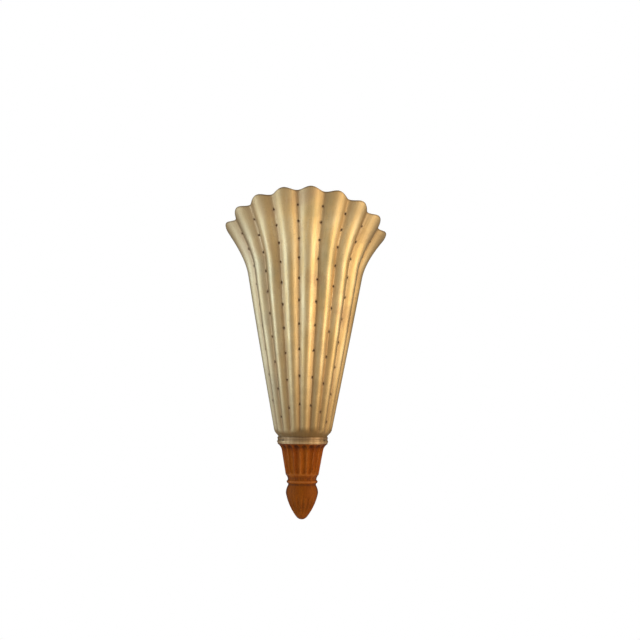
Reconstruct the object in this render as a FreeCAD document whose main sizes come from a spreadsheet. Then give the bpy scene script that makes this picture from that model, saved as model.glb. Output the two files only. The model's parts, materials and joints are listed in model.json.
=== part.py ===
import FreeCAD, Part
import math
import os
import re

import Sketcher
from FreeCAD import Placement, Rotation, Vector

# A half-round wall sconce: a fluted, pierced brass shell over a carved wooden drop, hung on a
# steel bracket, with a candle lamp inside. Millimetres. +Z is up, the wall is the plane Y = 0,
# the light stands out toward -Y, and the origin is the middle of the bracket's screw pattern.

SIZES = {
    # shell: half a cone with convex ribs, flared and scalloped at the rim
    "sheet": (1.2, "thickness of the shell"),
    "wall_gap": (0.5, "from the wall to the back edges of the half-round pieces"),
    "rib_count": (9, "ribs over the half circle"),
    "rib_depth": (0.08, "depth of a valley as a share of the radius there"),
    "neck_drop": (160.0, "from the origin down to the top of the neck"),
    "neck_length": (10.2, "straight neck that the collar goes round"),
    "neck_radius": (36.0, "outside of the neck"),
    "shoulder_height": (15.0, "rounding between neck and cone"),
    "shoulder_radius": (44.8, "cone radius at the top of the shoulder"),
    "cone_slope": (0.19, "gain in radius per unit of height"),
    "rim_level": (136.6, "height of the rim at the sides"),
    "flare_height": (62.0, "height of the flare under the rim"),
    "flare_reach": (24.0, "how far the flare stands out past the cone"),
    "flare_lip": (0.61, "slope that the flare adds at the very rim"),
    "rim_rise": (62.7, "how much higher the rim is in front than at the sides"),
    "rim_skew": (0.042, "hand-made lean of the rim, lower on the right"),
    "scallop_height": (5.2, "height of the scallops along the rim"),
    "hole_radius": (1.2, "pierced holes along the valleys"),
    "hole_gap": (20.0, "from the rim to the first hole"),
    "hole_gap_growth": (2.4, "how much each gap is longer than the one above"),
    # collar and its pins
    "collar_radius": (38.25, "largest radius, on the lower bead"),
    "collar_groove": (0.9, "depth of the groove between the beads"),
    "upper_bead": (1.8, "section radius of the upper bead"),
    "bead_step": (0.4, "how far the upper bead stays behind the lower one"),
    "lower_bead": (2.95, "section radius of the lower bead"),
    "collar_clearance": (0.1, "between the neck and the collar"),
    "pin_radius": (1.2, "collar pins"),
    "pin_length": (12.0, "collar pins"),
    "pin_angle": (55.0, "from the front to each pin, in degrees"),
    "pin_stand": (0.4, "how far a pin's head stands out"),
    "pin_clearance": (0.05, "between a pin and its hole"),
    # wooden drop
    "tenon_length": (20.0, "tenon inside the neck"),
    "tenon_clearance": (0.05, "between the tenon and the neck"),
    "rest_gap": (0.05, "between faces that rest on each other"),
    "lip_radius": (37.2, "edge right under the collar"),
    "lip_edge": (0.6, "straight edge of the lip"),
    "lip_height": (10.6, "hollow moulding under the lip"),
    "lip_hollow": (1.3, "depth of that hollow"),
    "grip_radius": (30.8, "top of the fluted part"),
    "grip_length": (34.0, "fluted part"),
    "grip_end_radius": (24.85, "bottom of the fluted part"),
    "arris_height": (1.6, "plain ring under the flutes"),
    "arris_radius": (24.3, "lower edge of that ring"),
    "cove_height": (7.0, "hollow above the bead"),
    "cove_radius": (21.3, "smallest radius of that hollow"),
    "cove_hollow": (0.6, "depth of its curve"),
    "bead_height": (5.6, "bead"),
    "bead_swell": (1.9, "how far the bead stands out"),
    "waist_height": (2.2, "groove between the bead and the bud"),
    "waist_radius": (20.8, "groove between the bead and the bud"),
    "bud_radius": (24.1, "largest radius of the bud"),
    "bud_crown": (11.8, "from the groove to the bud's largest radius"),
    "bud_shoulder": (0.8, "bulge of the bud's upper side"),
    "bud_drop": (36.0, "from there to the tip's rounding"),
    "bud_belly": (2.4, "bulge of the bud's lower side"),
    "tip_radius": (7.7, "where the tip's rounding starts"),
    "tip_height": (3.7, "rounded tip"),
    "tip_bulge": (0.9, "bulge of the tip"),
    "flute_count": (9, "flutes over the half circle"),
    "flute_radius": (6.2, "cutter radius at the top of the flutes"),
    "flute_depth": (2.3, "depth of a flute at its top"),
    "flute_margin": (1.0, "between the lip's edge and the round tops of the flutes"),
    "gouge_radius": (4.6, "cutter radius at the top of the bud's gouges"),
    "gouge_depth": (1.4, "depth of a gouge at the bud's belly"),
    # wall bracket
    "strap_width": (30.0, "bracket"),
    "strap_height": (110.0, "bracket"),
    "strap_thickness": (2.0, "bracket"),
    "screw_spacing": (60.0, "between the two wall screws"),
    "wall_screw_radius": (2.5, "holes for the wall screws"),
    "cable_hole_radius": (7.0, "hole for the supply cable in the bracket"),
    "lug_spacing": (96.0, "between the two shelves that carry the light"),
    "lug_width": (20.0, "shelf"),
    "lug_thickness": (2.0, "shelf and lip"),
    "lug_lip": (4.0, "height of the lip in front of the plate"),
    "hook_gap": (0.5, "between the plate and the lip"),
    # back plate and its strips
    "plate_stand": (6.5, "from the wall to the back of the plate"),
    "plate_thickness": (1.5, "back plate"),
    "plate_top": (70.0, "upper edge above the origin"),
    "plate_drop": (140.0, "where the plate narrows to its tongue"),
    "plate_margin": (1.0, "between the plate's edge and the shell's back edge"),
    "tongue_width": (30.0, "tongue that carries the wood"),
    "tongue_length": (55.0, "tongue"),
    "tongue_clearance": (0.2, "round the tongue in its rebate"),
    "window_width": (22.0, "windows that hang on the shelves"),
    "window_height": (10.0, "windows"),
    "strip_thickness": (2.0, "strips soldered inside the shell"),
    "strip_overlap": (8.0, "how far a strip reaches behind the plate's edge"),
    "strip_top": (60.0, "upper end of a strip"),
    "strip_drop": (130.0, "lower end of a strip"),
    "strip_end": (12.0, "from a strip's end to its screw"),
    "solder_gap": (0.1, "solder between strip and shell"),
    # fasteners
    "small_screw": (1.5, "shank radius of the plate and block screws"),
    "large_screw": (2.0, "shank radius of the arm and earth screws"),
    "wood_screw": (1.75, "shank radius of the wood screws"),
    "wood_screw_length": (15.0, "in the wood"),
    "screw_clearance": (0.05, "between a shank and its hole"),
    "screw_end": (1.0, "how far a screw comes out of the last piece"),
    "head_ratio": (1.85, "head radius over shank radius"),
    "head_height": (2.0, "screw heads"),
    "wood_screw_gap": (26.0, "between the two wood screws"),
    "wood_screw_end": (7.0, "from the tongue's end to the lower wood screw"),
    "overcut": (1.0, "how far a cutter passes the faces it goes through"),
    # lamp arm, nipple and lampholder
    "lamp_reach": (38.0, "from the wall to the lamp's axis"),
    "arm_drop": (40.0, "from the origin down to the arm's top face"),
    "arm_width": (24.0, "arm"),
    "arm_thickness": (2.0, "arm"),
    "arm_foot": (26.0, "height of the arm's foot"),
    "arm_screw_drop": (10.4, "from the foot's upper edge to its screws"),
    "arm_nose": (12.0, "from the lamp's axis to the arm's front edge"),
    "arm_screw_gap": (14.0, "between the two arm screws"),
    "nipple_radius": (5.0, "threaded tube"),
    "nipple_bore": (3.7, "radius of its bore"),
    "nipple_below": (10.0, "length under the arm"),
    "nipple_above": (4.4, "length over the arm"),
    "thread_clearance": (0.1, "round the threaded tube"),
    "nut_height": (3.0, "nut under the arm"),
    "nut_width": (14.0, "across the flats"),
    "washer_thickness": (0.8, "toothed washer"),
    "washer_radius": (7.6, "toothed washer"),
    "washer_notch": (0.95, "radius of the notches between its teeth"),
    "holder_radius": (12.5, "lampholder"),
    "holder_wall": (1.5, "lampholder"),
    "cap_height": (26.0, "lower half of the lampholder"),
    "cap_collar": (8.5, "radius of its threaded collar"),
    "cap_collar_height": (4.2, "threaded collar"),
    "cap_cone": (9.0, "from the arm to the full radius"),
    "spigot_height": (4.0, "where the upper half enters the lower"),
    "body_height": (36.0, "upper half of the lampholder"),
    "mouth_radius": (8.2, "opening of the lampholder"),
    "mouth_wall": (1.6, "thickness of the lampholder's top"),
    "core_height": (14.5, "ceramic core"),
    "core_clearance": (0.1, "between the core and the lampholder"),
    "screw_shell_radius": (7.0, "inside of the threaded shell"),
    "screw_shell_wall": (0.4, "threaded shell"),
    "screw_shell_height": (20.0, "threaded shell"),
    "contact_radius": (2.0, "centre contact"),
    "contact_height": (3.8, "centre contact"),
    "contact_gap": (2.0, "free ring round the centre contact"),
    # bulb
    "bulb_clearance": (0.1, "between the bulb's cap and the threaded shell"),
    "bulb_cap_wall": (0.5, "bulb cap"),
    "bulb_cap_height": (18.0, "bulb cap"),
    "bulb_cap_flare": (1.4, "how far the cap's top flares"),
    "bulb_cap_rim": (2.1, "height of the flared part"),
    "bulb_tip": (2.2, "radius of the bulb's contact"),
    "bulb_tip_height": (1.0, "the bulb's contact"),
    "insulator_height": (4.2, "glass insulator under the cap"),
    "insulator_rise": (2.7, "its conical part"),
    "insulator_foot": (3.0, "its smallest radius"),
    "glass_radius": (17.5, "largest radius of the glass"),
    "glass_neck": (6.25, "neck radius of the glass"),
    "glass_wall": (0.9, "glass"),
    "glass_length": (92.0, "glass, from inside the cap to its tip"),
    "stem_radius": (2.6, "glass stem"),
    "stem_height": (36.0, "glass stem"),
    "stem_gap": (0.6, "between the stem's foot and the glass"),
    "wire_radius": (0.3, "filament and its supports"),
    "filament_width": (12.0, "filament"),
    "filament_height": (18.0, "from the stem to the top of the filament"),
    "filament_bow": (7.0, "from the top of the filament down to its widest place"),
    # terminal block, earth and leads
    "block_drop": (103.0, "from the origin down to the block's middle"),
    "block_height": (18.0, "terminal block"),
    "block_depth": (16.0, "terminal block"),
    "pole_pitch": (10.0, "between two poles"),
    "insert_radius": (3.0, "brass inserts"),
    "insert_length": (16.0, "brass inserts"),
    "insert_clearance": (0.05, "round an insert"),
    "clamp_gap": (9.0, "between the two screws of a pole"),
    "clamp_length": (4.6, "clamping screws"),
    "clamp_hole": (2.2, "radius of the holes that lead to them"),
    "earth_drop": (68.0, "from the origin down to the earth screw"),
    "lug_ring": (4.2, "radius of the earth lug's ring"),
    "lug_sheet": (0.8, "earth lug"),
    "barrel_wall": (0.7, "barrel of the earth lug"),
    "barrel_length": (7.0, "barrel of the earth lug"),
    "barrel_gap": (5.0, "from the earth screw to the barrel"),
    "lead_radius": (1.1, "insulated leads"),
    "lead_clearance": (0.2, "round a lead in its terminal"),
    "lead_spread": (3.6, "between the two leads in the threaded tube"),
    "lead_grip": (6.0, "length of a lead inside its terminal"),
    "lead_rise": (23.0, "height in which a lead crosses to the lamp's axis"),
    "lead_start": (5.0, "straight length of a lead over its terminal"),
    # grommet
    "entry_radius": (6.5, "cable hole in the plate"),
    "grommet_bore": (4.5, "radius of the grommet's bore"),
    "grommet_radius": (8.5, "flanges of the grommet"),
    "flange_height": (1.2, "flanges of the grommet"),
}

# the shapes of curves, which don't change with size
SHOULDER_POWER = 5
RISE_POWER = 4
SCALLOP_POWER = 8
RIB_POWER = 4
CANDLE_NECK = 0.18
CANDLE_SHARES = ((0.3, 0.68), (0.5, 1.0), (0.78, 0.62))
WASHER_TEETH = 10
RIB_STEPS = 12
BEND_SHARE = 0.45
TINY = 1e-4

UPRIGHT = Rotation()
TO_ROOM = Rotation(Vector(1, 0, 0), 90)
FRONT_HALF = Rotation(Vector(0, 0, 1), 180)

doc = FreeCAD.newDocument("shell_wall_sconce")
sheet = doc.addObject("Spreadsheet::Sheet", "sizes")
for row, (name, (value, meaning)) in enumerate(SIZES.items(), start=1):
    sheet.set(f"A{row}", name)
    sheet.set(f"B{row}", str(value))
    sheet.set(f"C{row}", meaning)
    sheet.setAlias(f"B{row}", name)
doc.recompute()


class Measures:
    """The sheet's values, for the pieces whose shape is worked out by a formula."""


size = Measures()
for name in SIZES:
    setattr(size, name, float(sheet.get(name)))

subparts = []


# ---------------------------------------------------------------- helpers


def linked_name(word):
    name = word.group()
    return "sizes." + name if name in SIZES else name


def bind(thing, prop, formula):
    """Ties a property to a formula written in the sheet's names."""
    thing.setExpression(prop, re.sub(r"[a-z_]+", linked_name, str(formula)))


def number(formula):
    """The value of such a formula, worked out in a spare cell."""
    sheet.set("E1", "=" + formula)
    sheet.recompute()
    return float(sheet.get("E1"))


def keep(thing, label):
    """Makes an object one of the sub-parts that are written out."""
    thing.Label = label
    subparts.append(thing)
    return thing


def place(thing, at, turn=UPRIGHT):
    thing.Placement = Placement(Vector(), turn)
    for axis, formula in zip("xyz", at):
        bind(thing, "Placement.Base." + axis, formula)
    return thing


def box(low, high):
    """A block between two corners, each given as three formulas."""
    made = doc.addObject("Part::Box", "block")
    for prop, start, end in zip(("Length", "Width", "Height"), low, high):
        bind(made, prop, f"({end}) - ({start})")
    return place(made, low)


def cylinder(radius, length, at, turn=UPRIGHT, sweep=360):
    made = doc.addObject("Part::Cylinder", "round")
    bind(made, "Radius", radius)
    bind(made, "Height", length)
    made.Angle = sweep
    return place(made, at, turn)


def drill(radius, length, at, turn=UPRIGHT):
    """A cylinder that cuts right through: it starts and ends past the faces."""
    x, y, z = at
    start = (x, f"{y} + overcut", z) if turn is TO_ROOM else (x, y, f"{z} - overcut")
    return cylinder(radius, f"{length} + 2 * overcut", start, turn)


def fuse(pieces):
    made = doc.addObject("Part::MultiFuse", "joined")
    made.Shapes = pieces
    return made


def cut(base, tools):
    made = doc.addObject("Part::Cut", "cut")
    made.Base = base
    made.Tool = tools[0] if len(tools) == 1 else fuse(tools)
    return made


def group(pieces):
    """Identical pieces that share a sub-part, each a solid of its own."""
    made = doc.addObject("Part::Compound", "group")
    made.Links = pieces
    return made


def feature(shape, label, at=Vector()):
    made = doc.addObject("Part::Feature", label)
    made.Shape = shape
    made.Placement = Placement(at, UPRIGHT)
    return keep(made, label)


def new_sketch(body, role, lift):
    """An empty sketch on one of the body's own planes, lifted along its normal."""
    sketch = body.newObject("Sketcher::SketchObject", "outline")
    plane = next(item for item in body.Origin.OriginFeatures if item.Role == role)
    sketch.AttachmentSupport = [(plane, "")]
    sketch.MapMode = "FlatFace"
    bind(sketch, "AttachmentOffset.Base.z", lift)
    return sketch


def fix_point(sketch, item, point, at):
    for kind, formula in zip(("DistanceX", "DistanceY"), at):
        row = sketch.addConstraint(Sketcher.Constraint(kind, -1, 1, item, point, 1.0))
        bind(sketch, f"Constraints[{row}]", formula)


def draw_outline(sketch, corners):
    """A closed outline through corners, each given as two formulas."""
    first = sketch.GeometryCount
    count = len(corners)
    for i in range(count):
        start = Vector(i, i * i, 0)
        end = Vector(i + 1, (i + 1) ** 2, 0)
        sketch.addGeometry(Part.LineSegment(start, end))
    for i in range(count):
        follower = first + (i + 1) % count
        sketch.addConstraint(Sketcher.Constraint("Coincident", first + i, 2, follower, 1))
    for i, corner in enumerate(corners):
        fix_point(sketch, first + i, 1, corner)


def draw_circle(sketch, centre, radius):
    item = sketch.addGeometry(Part.Circle(Vector(), Vector(0, 0, 1), 1))
    fix_point(sketch, item, 3, centre)
    row = sketch.addConstraint(Sketcher.Constraint("Radius", item, 1.0))
    bind(sketch, f"Constraints[{row}]", radius)


def new_pad(body, sketch, length):
    pad = body.newObject("PartDesign::Pad", "pad")
    pad.Profile = sketch
    bind(pad, "Length", length)
    return pad


def turned(label, corners, lift="lamp_reach", role="XZ_Plane"):
    """A body turned about its sketch's upright axis."""
    body = doc.addObject("PartDesign::Body", label)
    sketch = new_sketch(body, role, lift)
    draw_outline(sketch, corners)
    turn = body.newObject("PartDesign::Revolution", "turn")
    turn.Profile = sketch
    turn.ReferenceAxis = (sketch, ["V_Axis"])
    turn.Angle = 360
    return body


def pan_screw(shank, length, seat):
    """A screw driven from the wall's side, its head's underside at the seat."""
    x, y, z = seat
    stem = cylinder(shank, length, seat, TO_ROOM)
    head = cylinder(f"{shank} * head_ratio", "head_height", (x, f"{y} + head_height", z), TO_ROOM)
    return fuse([stem, head])


# ---------------------------------------------------------------- places shared by several pieces

PLATE_BACK = "-plate_stand"
PLATE_FRONT = "-(plate_stand + plate_thickness)"
LAMP_Y = "-lamp_reach"
ARM_TOP = "-arm_drop"
ARM_UNDER = "-(arm_drop + arm_thickness)"
SPLIT = "(cap_height - arm_drop)"
CORE_TOP = f"({SPLIT} - spigot_height + rest_gap + core_height)"
TIP_LEVEL = f"({CORE_TOP} + contact_height + rest_gap)"
CAP_FOOT = f"({TIP_LEVEL} + bulb_tip_height + insulator_rise)"
SHOULDER_LEVEL = "(shoulder_height - neck_drop)"
POLE_Y = "-(plate_stand + plate_thickness + block_depth / 2)"
STRIP_LEVELS = ("strip_end - strip_drop", "(strip_top - strip_drop) / 2", "strip_top - strip_end")
POLES = (-1, 0, 1)
SIDES = (-1, 1)


def plate_edge(level):
    """Half the plate's width at a level: inside the shell's back edge, so it goes in from behind."""
    cone = f"(shoulder_radius + cone_slope * ({level} - {SHOULDER_LEVEL}))"
    return f"({cone} * (1 - rib_depth) - sheet - plate_margin)"


def strip_screw_places():
    for level in STRIP_LEVELS:
        for side in SIDES:
            yield f"{side} * ({plate_edge(level)} - strip_overlap / 2)", level


def wood_screw_levels():
    lower = "wood_screw_end - plate_drop - tongue_length"
    return [lower, f"{lower} + wood_screw_gap"]


ARM_SCREW_LEVEL = "(arm_foot - arm_screw_drop - arm_drop)"


# ---------------------------------------------------------------- shell


def cone_radius(level):
    return size.shoulder_radius + size.cone_slope * (level - shoulder_level())


def shoulder_level():
    return size.shoulder_height - size.neck_drop


def shell_radius(level):
    """Radius at the crests: neck, rounded shoulder, straight cone, flare."""
    if level <= -size.neck_drop:
        return size.neck_radius
    radius = cone_radius(level)
    if level < shoulder_level():
        down = (shoulder_level() - level) / size.shoulder_height
        power = SHOULDER_POWER
        rounding = down**power * (power + 1 - power * down)
        radius -= (cone_radius(-size.neck_drop) - size.neck_radius) * rounding
    up = 1 - (size.rim_level - level) / size.flare_height
    if up > 0:
        radius += size.flare_reach * (3 * up**2 - 2 * up**3)
        radius += size.flare_lip * size.flare_height * (up**3 - up**2)
    return radius


def share_of_height(level):
    return max(0.0, (level + size.neck_drop) / (size.rim_level + size.neck_drop))


def rib_share(level):
    """The ribs grow out of the round neck over the height of the shoulder."""
    grown = min(1.0, max(0.0, (level + size.neck_drop) / size.shoulder_height))
    return size.rib_depth * grown**2 * (3 - 2 * grown)


def shell_point(level, angle, swell=0.0):
    """A point of the outer face; angle is measured from the front, in radians."""
    wave = math.sin(size.rib_count * angle) ** RIB_POWER
    radius = shell_radius(level) * (1 - rib_share(level) * wave) + swell
    x = radius * math.sin(angle)
    y = -radius * math.cos(angle) - size.wall_gap
    share = share_of_height(level)
    rise = size.rim_rise * math.cos(angle) * share**RISE_POWER
    scallop = math.cos(size.rib_count * angle) ** 2 - 0.5
    scallop *= size.scallop_height * share**SCALLOP_POWER
    skew = size.rim_skew * x * share**RISE_POWER
    return Vector(x, y, level + rise + scallop - skew)


def shell_normal(level, angle):
    along = shell_point(level, angle + TINY) - shell_point(level, angle - TINY)
    upward = shell_point(level + 10 * TINY, angle) - shell_point(level - 10 * TINY, angle)
    normal = upward.cross(along).normalize()
    outward = Vector(math.sin(angle), -math.cos(angle), 0)
    return normal if normal.dot(outward) > 0 else -normal


def shell_inside(level, angle, depth):
    return shell_point(level, angle) - shell_normal(level, angle) * depth


def even(start, end, count):
    """Levels from start to end in equal steps."""
    return [start + (end - start) * i / count for i in range(count + 1)]


def shell_zones():
    """Each zone of the shell is a smooth face of its own: neck, shoulder, cone, flare."""
    neck = -size.neck_drop
    flare = size.rim_level - size.flare_height
    turns = [neck - size.neck_length, neck] + even(shoulder_level(), flare, 3)
    turns += [size.rim_level - size.flare_height / 2, size.rim_level]
    steps = [1, 6, 3, 3, 3, 4, 4]
    return [even(low, high, count) for low, high, count in zip(turns[:-1], turns[1:], steps)]


def ring(level, point_at):
    """One level of a face as splines from crest to crest, so every valley is inside a patch."""
    pitch = math.pi / size.rib_count
    half = math.pi / 2
    crests = [-half] + [-half + pitch * (i + 0.5) for i in range(int(size.rib_count))] + [half]
    edges = []
    for start, end in zip(crests[:-1], crests[1:]):
        steps = round(RIB_STEPS * (end - start) / pitch)
        points = [point_at(level, start + (end - start) * i / steps) for i in range(steps + 1)]
        reach = (end - start) / (2 * TINY)
        tangents = [
            (point_at(level, a + TINY) - point_at(level, a - TINY)) * reach for a in (start, end)
        ]
        curve = Part.BSplineCurve()
        curve.interpolate(
            Points=points,
            InitialTangent=tangents[0],
            FinalTangent=tangents[1],
            Parameters=[i / steps for i in range(steps + 1)],
        )
        edges.append(curve.toShape())
    return Part.Wire(edges)


def free_edges(skin):
    uses = {}
    for face in skin.Faces:
        for edge in face.Edges:
            uses.setdefault(edge.hashCode(), []).append(edge)
    return [edges[0] for edges in uses.values() if len(edges) == 1]


def middle(edge):
    return edge.valueAt((edge.FirstParameter + edge.LastParameter) / 2)


def shell_skin(point_at):
    """One side of the shell, zone by zone."""
    faces = []
    for levels in shell_zones():
        rings = [ring(level, point_at) for level in levels]
        faces += Part.makeLoft(rings, False, len(rings) == 2).Faces
    skin = Part.makeShell(faces)
    skin.sewShape()
    return skin


def build_sheet():
    """The bare sheet: outer skin, inner skin and the strips that join their edges."""
    outer = shell_skin(shell_point)
    inner = shell_skin(lambda level, angle: shell_inside(level, angle, size.sheet))
    edges = free_edges(inner)
    borders = []
    for edge in free_edges(outer):
        partner = min(edges, key=lambda other: (middle(other) - middle(edge)).Length)
        borders.append(Part.makeRuledSurface(edge, partner))
    closed = Part.makeShell(outer.Faces + inner.Faces + borders)
    closed.sewShape()
    solid = Part.makeSolid(closed)
    if solid.Volume < 0:
        solid.reverse()
    return solid


def level_at(height, angle):
    """The level whose point at this angle has the given real height."""
    low, high = -size.neck_drop, size.rim_level
    for _ in range(40):
        half = (low + high) / 2
        if shell_point(half, angle).z < height:
            low = half
        else:
            high = half
    return low


def pierced_holes():
    """A row of holes down every valley, with gaps that grow toward the neck."""
    pitch = math.pi / size.rib_count
    tools = []
    for valley in range(1, int(size.rib_count)):
        angle = -math.pi / 2 + pitch * valley
        gap = size.hole_gap
        height = shell_point(size.rim_level, angle).z - gap
        while level_at(height, angle) > shoulder_level():
            level = level_at(height, angle)
            normal = shell_normal(level, angle)
            reach = size.sheet + size.overcut
            start = shell_point(level, angle) + normal * reach
            tools.append(Part.makeCylinder(size.hole_radius, 2 * reach, start, -normal))
            gap += size.hole_gap_growth
            height -= gap
    return tools


def pin_axis(side):
    """Where a collar pin starts, outside, and which way it points."""
    angle = side * math.radians(size.pin_angle)
    inward = Vector(-math.sin(angle), math.cos(angle), 0)
    reach = size.collar_radius + size.pin_stand
    start = Vector(0, -size.wall_gap, pin_level()) - inward * reach
    return start, inward


def pin_level():
    return -(size.neck_drop + size.neck_length / 2)


def pin_holes():
    radius = size.pin_radius + size.pin_clearance
    length = size.pin_length + size.rest_gap
    return [Part.makeCylinder(radius, length, *pin_axis(side)) for side in SIDES]


def build_shade():
    return feature(build_sheet().cut(Part.makeCompound(pierced_holes() + pin_holes())), "shade")


def wall_inside(level, side, y):
    """Where the shell's inner face, less the solder, stands at a given distance from the wall."""
    near, far = math.pi / 3, math.pi / 2
    for _ in range(40):
        angle = (near + far) / 2
        point = shell_inside(level, side * angle, size.sheet + size.solder_gap)
        if point.y < y:
            near = angle
        else:
            far = angle
    return point


def strip_edge(side, back, front):
    """The strip's outer edge: straight across the strip, touching the solder along its length."""
    points = []
    for level in even(-size.strip_drop, size.strip_top, 9):
        touching = [wall_inside(level, side, y) for y in (back, front)]
        nearest = min(touching, key=lambda point: abs(point.x))
        points.append(Vector(nearest.x, back, nearest.z))
    curve = Part.BSplineCurve()
    curve.interpolate(Points=points)
    return curve.toShape(), points[0], points[-1]


def build_side_strip(label, side):
    """A strip soldered along the inside of the shell, tapped for the plate's screws."""
    back = number(PLATE_FRONT)
    edge, foot, head = strip_edge(side, back, back - size.strip_thickness)
    inner_foot, inner_head = [
        Vector(side * (number(plate_edge(f"({point.z})")) - size.strip_overlap), back, point.z)
        for point in (foot, head)
    ]
    ends = [(head, inner_head), (inner_head, inner_foot), (inner_foot, foot)]
    sides = [edge] + [straight(start, end) for start, end in ends]
    blank = Part.Face(Part.Wire(sides)).extrude(Vector(0, -size.strip_thickness, 0))
    radius = size.small_screw + size.screw_clearance
    length = size.strip_thickness + 2 * size.overcut
    holes = []
    for x, level in strip_screw_places():
        start = Vector(number(x), back + size.overcut, number(level))
        holes.append(Part.makeCylinder(radius, length, start, Vector(0, -1, 0)))
    return feature(blank.cut(Part.makeCompound(holes)), label)


# ---------------------------------------------------------------- collar


def half_torus(ring_radius, section, level):
    made = doc.addObject("Part::Torus", "bead")
    bind(made, "Radius1", ring_radius)
    bind(made, "Radius2", section)
    made.Angle3 = 180
    return place(made, ("0", "-wall_gap", level), FRONT_HALF)


def build_collar():
    foot = "-(neck_drop + neck_length)"
    band = cylinder(
        "collar_radius - collar_groove",
        "neck_length - rest_gap",
        ("0", "-wall_gap", foot),
        FRONT_HALF,
        180,
    )
    lower = half_torus("collar_radius - lower_bead", "lower_bead", f"{foot} + lower_bead")
    upper = half_torus(
        "collar_radius - bead_step - upper_bead",
        "upper_bead",
        "-(neck_drop + rest_gap + upper_bead)",
    )
    bore = drill("neck_radius + collar_clearance", "neck_length", ("0", "-wall_gap", foot))
    holes = [pin_cylinder(side, "pin_radius + pin_clearance") for side in SIDES]
    return keep(cut(fuse([band, lower, upper]), [bore] + holes), "collar")


def pin_cylinder(side, radius):
    turn = Rotation(Vector(0, 0, 1), side * size.pin_angle) * TO_ROOM * Rotation(Vector(1, 0, 0), 180)
    reach = "(collar_radius + pin_stand)"
    at = (
        f"{side} * {reach} * sin(pin_angle)",
        f"-wall_gap - {reach} * cos(pin_angle)",
        "-(neck_drop + neck_length / 2)",
    )
    return cylinder(radius, "pin_length", at, turn)


def build_collar_pins():
    return keep(group([pin_cylinder(side, "pin_radius") for side in SIDES]), "collar_pins")


# ---------------------------------------------------------------- wooden drop


def bulged(start, end, sag):
    """An arc from start to end whose middle stands off the chord, to its left for a positive sag."""
    chord = end - start
    left = Vector(-chord.z, 0, chord.x).normalize()
    return Part.Arc(start, (start + end) * 0.5 + left * sag, end).toShape()


def straight(start, end):
    return Part.LineSegment(start, end).toShape()


def drop_stations():
    """The named points of the turned outline, from the lip down, as radius and height."""
    steps = [
        ("lip", size.lip_radius, 0.0),
        ("lip_edge", size.lip_radius, size.lip_edge),
        ("grip", size.grip_radius, size.lip_height),
        ("grip_end", size.grip_end_radius, size.grip_length),
        ("arris", size.arris_radius, size.arris_height),
        ("cove", size.cove_radius, size.cove_height),
        ("bead", size.cove_radius, size.bead_height),
        ("waist", size.waist_radius, size.waist_height),
        ("bud", size.bud_radius, size.bud_crown),
        ("tip", size.tip_radius, size.bud_drop),
        ("end", 0.0, size.tip_height),
    ]
    height = -(size.neck_drop + size.neck_length + size.rest_gap)
    stations = {}
    for name, radius, drop in steps:
        height -= drop
        stations[name] = Vector(radius, 0, height)
    return stations


def drop_outline(at):
    tenon_radius = size.neck_radius - size.sheet - size.tenon_clearance
    tenon_top = at["lip"].z + size.tenon_length
    top = Vector(0, 0, tenon_top)
    corner = Vector(tenon_radius, 0, tenon_top)
    seat = Vector(tenon_radius, 0, at["lip"].z)
    return [
        straight(top, corner),
        straight(corner, seat),
        straight(seat, at["lip"]),
        straight(at["lip"], at["lip_edge"]),
        bulged(at["lip_edge"], at["grip"], -size.lip_hollow),
        straight(at["grip"], at["grip_end"]),
        straight(at["grip_end"], at["arris"]),
        bulged(at["arris"], at["cove"], -size.cove_hollow),
        bulged(at["cove"], at["bead"], size.bead_swell),
        straight(at["bead"], at["waist"]),
        bulged(at["waist"], at["bud"], size.bud_shoulder),
        bulged(at["bud"], at["tip"], size.bud_belly),
        bulged(at["tip"], at["end"], size.tip_bulge),
        straight(at["end"], top),
    ]


def flute_cutter(at):
    """A tapered, round-ended cutter that leaves a narrow ridge between two flutes."""
    scale = size.grip_end_radius / size.grip_radius
    end_radius = size.flute_radius * scale
    axis_in = size.grip_radius - size.flute_depth + size.flute_radius
    rise = at["lip_edge"].z - size.flute_margin - size.flute_radius - at["grip"].z
    lean = (size.grip_radius - size.grip_end_radius) / size.grip_length
    top = Vector(axis_in + lean * rise, 0, at["grip"].z + rise)
    runout = math.sqrt(end_radius**2 - (axis_in * scale - size.grip_end_radius) ** 2)
    foot = Vector(axis_in * scale, 0, at["grip_end"].z + runout)
    length = (foot - top).Length
    cone = Part.makeCone(size.flute_radius, end_radius, length, top, foot - top)
    return cone.fuse([Part.makeSphere(size.flute_radius, top), Part.makeSphere(end_radius, foot)])


def gouge_cutter(at):
    """A tapered cutter along the bud's lower side; it runs out toward both ends."""
    start, end = at["bud"], at["tip"]
    outward = Vector(start.z - end.z, 0, end.x - start.x).normalize()
    clear = size.bud_belly - size.gouge_depth
    end_radius = size.gouge_radius * size.tip_radius / size.bud_radius
    top = start + outward * (clear + size.gouge_radius)
    foot = end + outward * (clear + end_radius)
    return Part.makeCone(size.gouge_radius, end_radius, (foot - top).Length, top, foot - top)


def around(tool):
    """Copies of a cutter, which lies in the X direction, at every flute's angle."""
    pitch = 180.0 / size.flute_count
    copies = []
    for i in range(int(size.flute_count)):
        copy = tool.copy()
        copy.rotate(Vector(), Vector(0, 0, 1), -180 + pitch * (i + 0.5))
        copies.append(copy)
    return copies


def rebate(at):
    """Room for the plate's tongue in the back of the wood."""
    half = size.tongue_width / 2 + size.tongue_clearance
    foot = -(size.plate_drop + size.tongue_length + size.tongue_clearance)
    top = at["lip"].z + size.tenon_length + size.overcut
    floor = -number(PLATE_FRONT) + size.rest_gap
    corner = Vector(-half, -floor, foot)
    return Part.makeBox(2 * half, floor + size.overcut, top - foot, corner)


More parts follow.
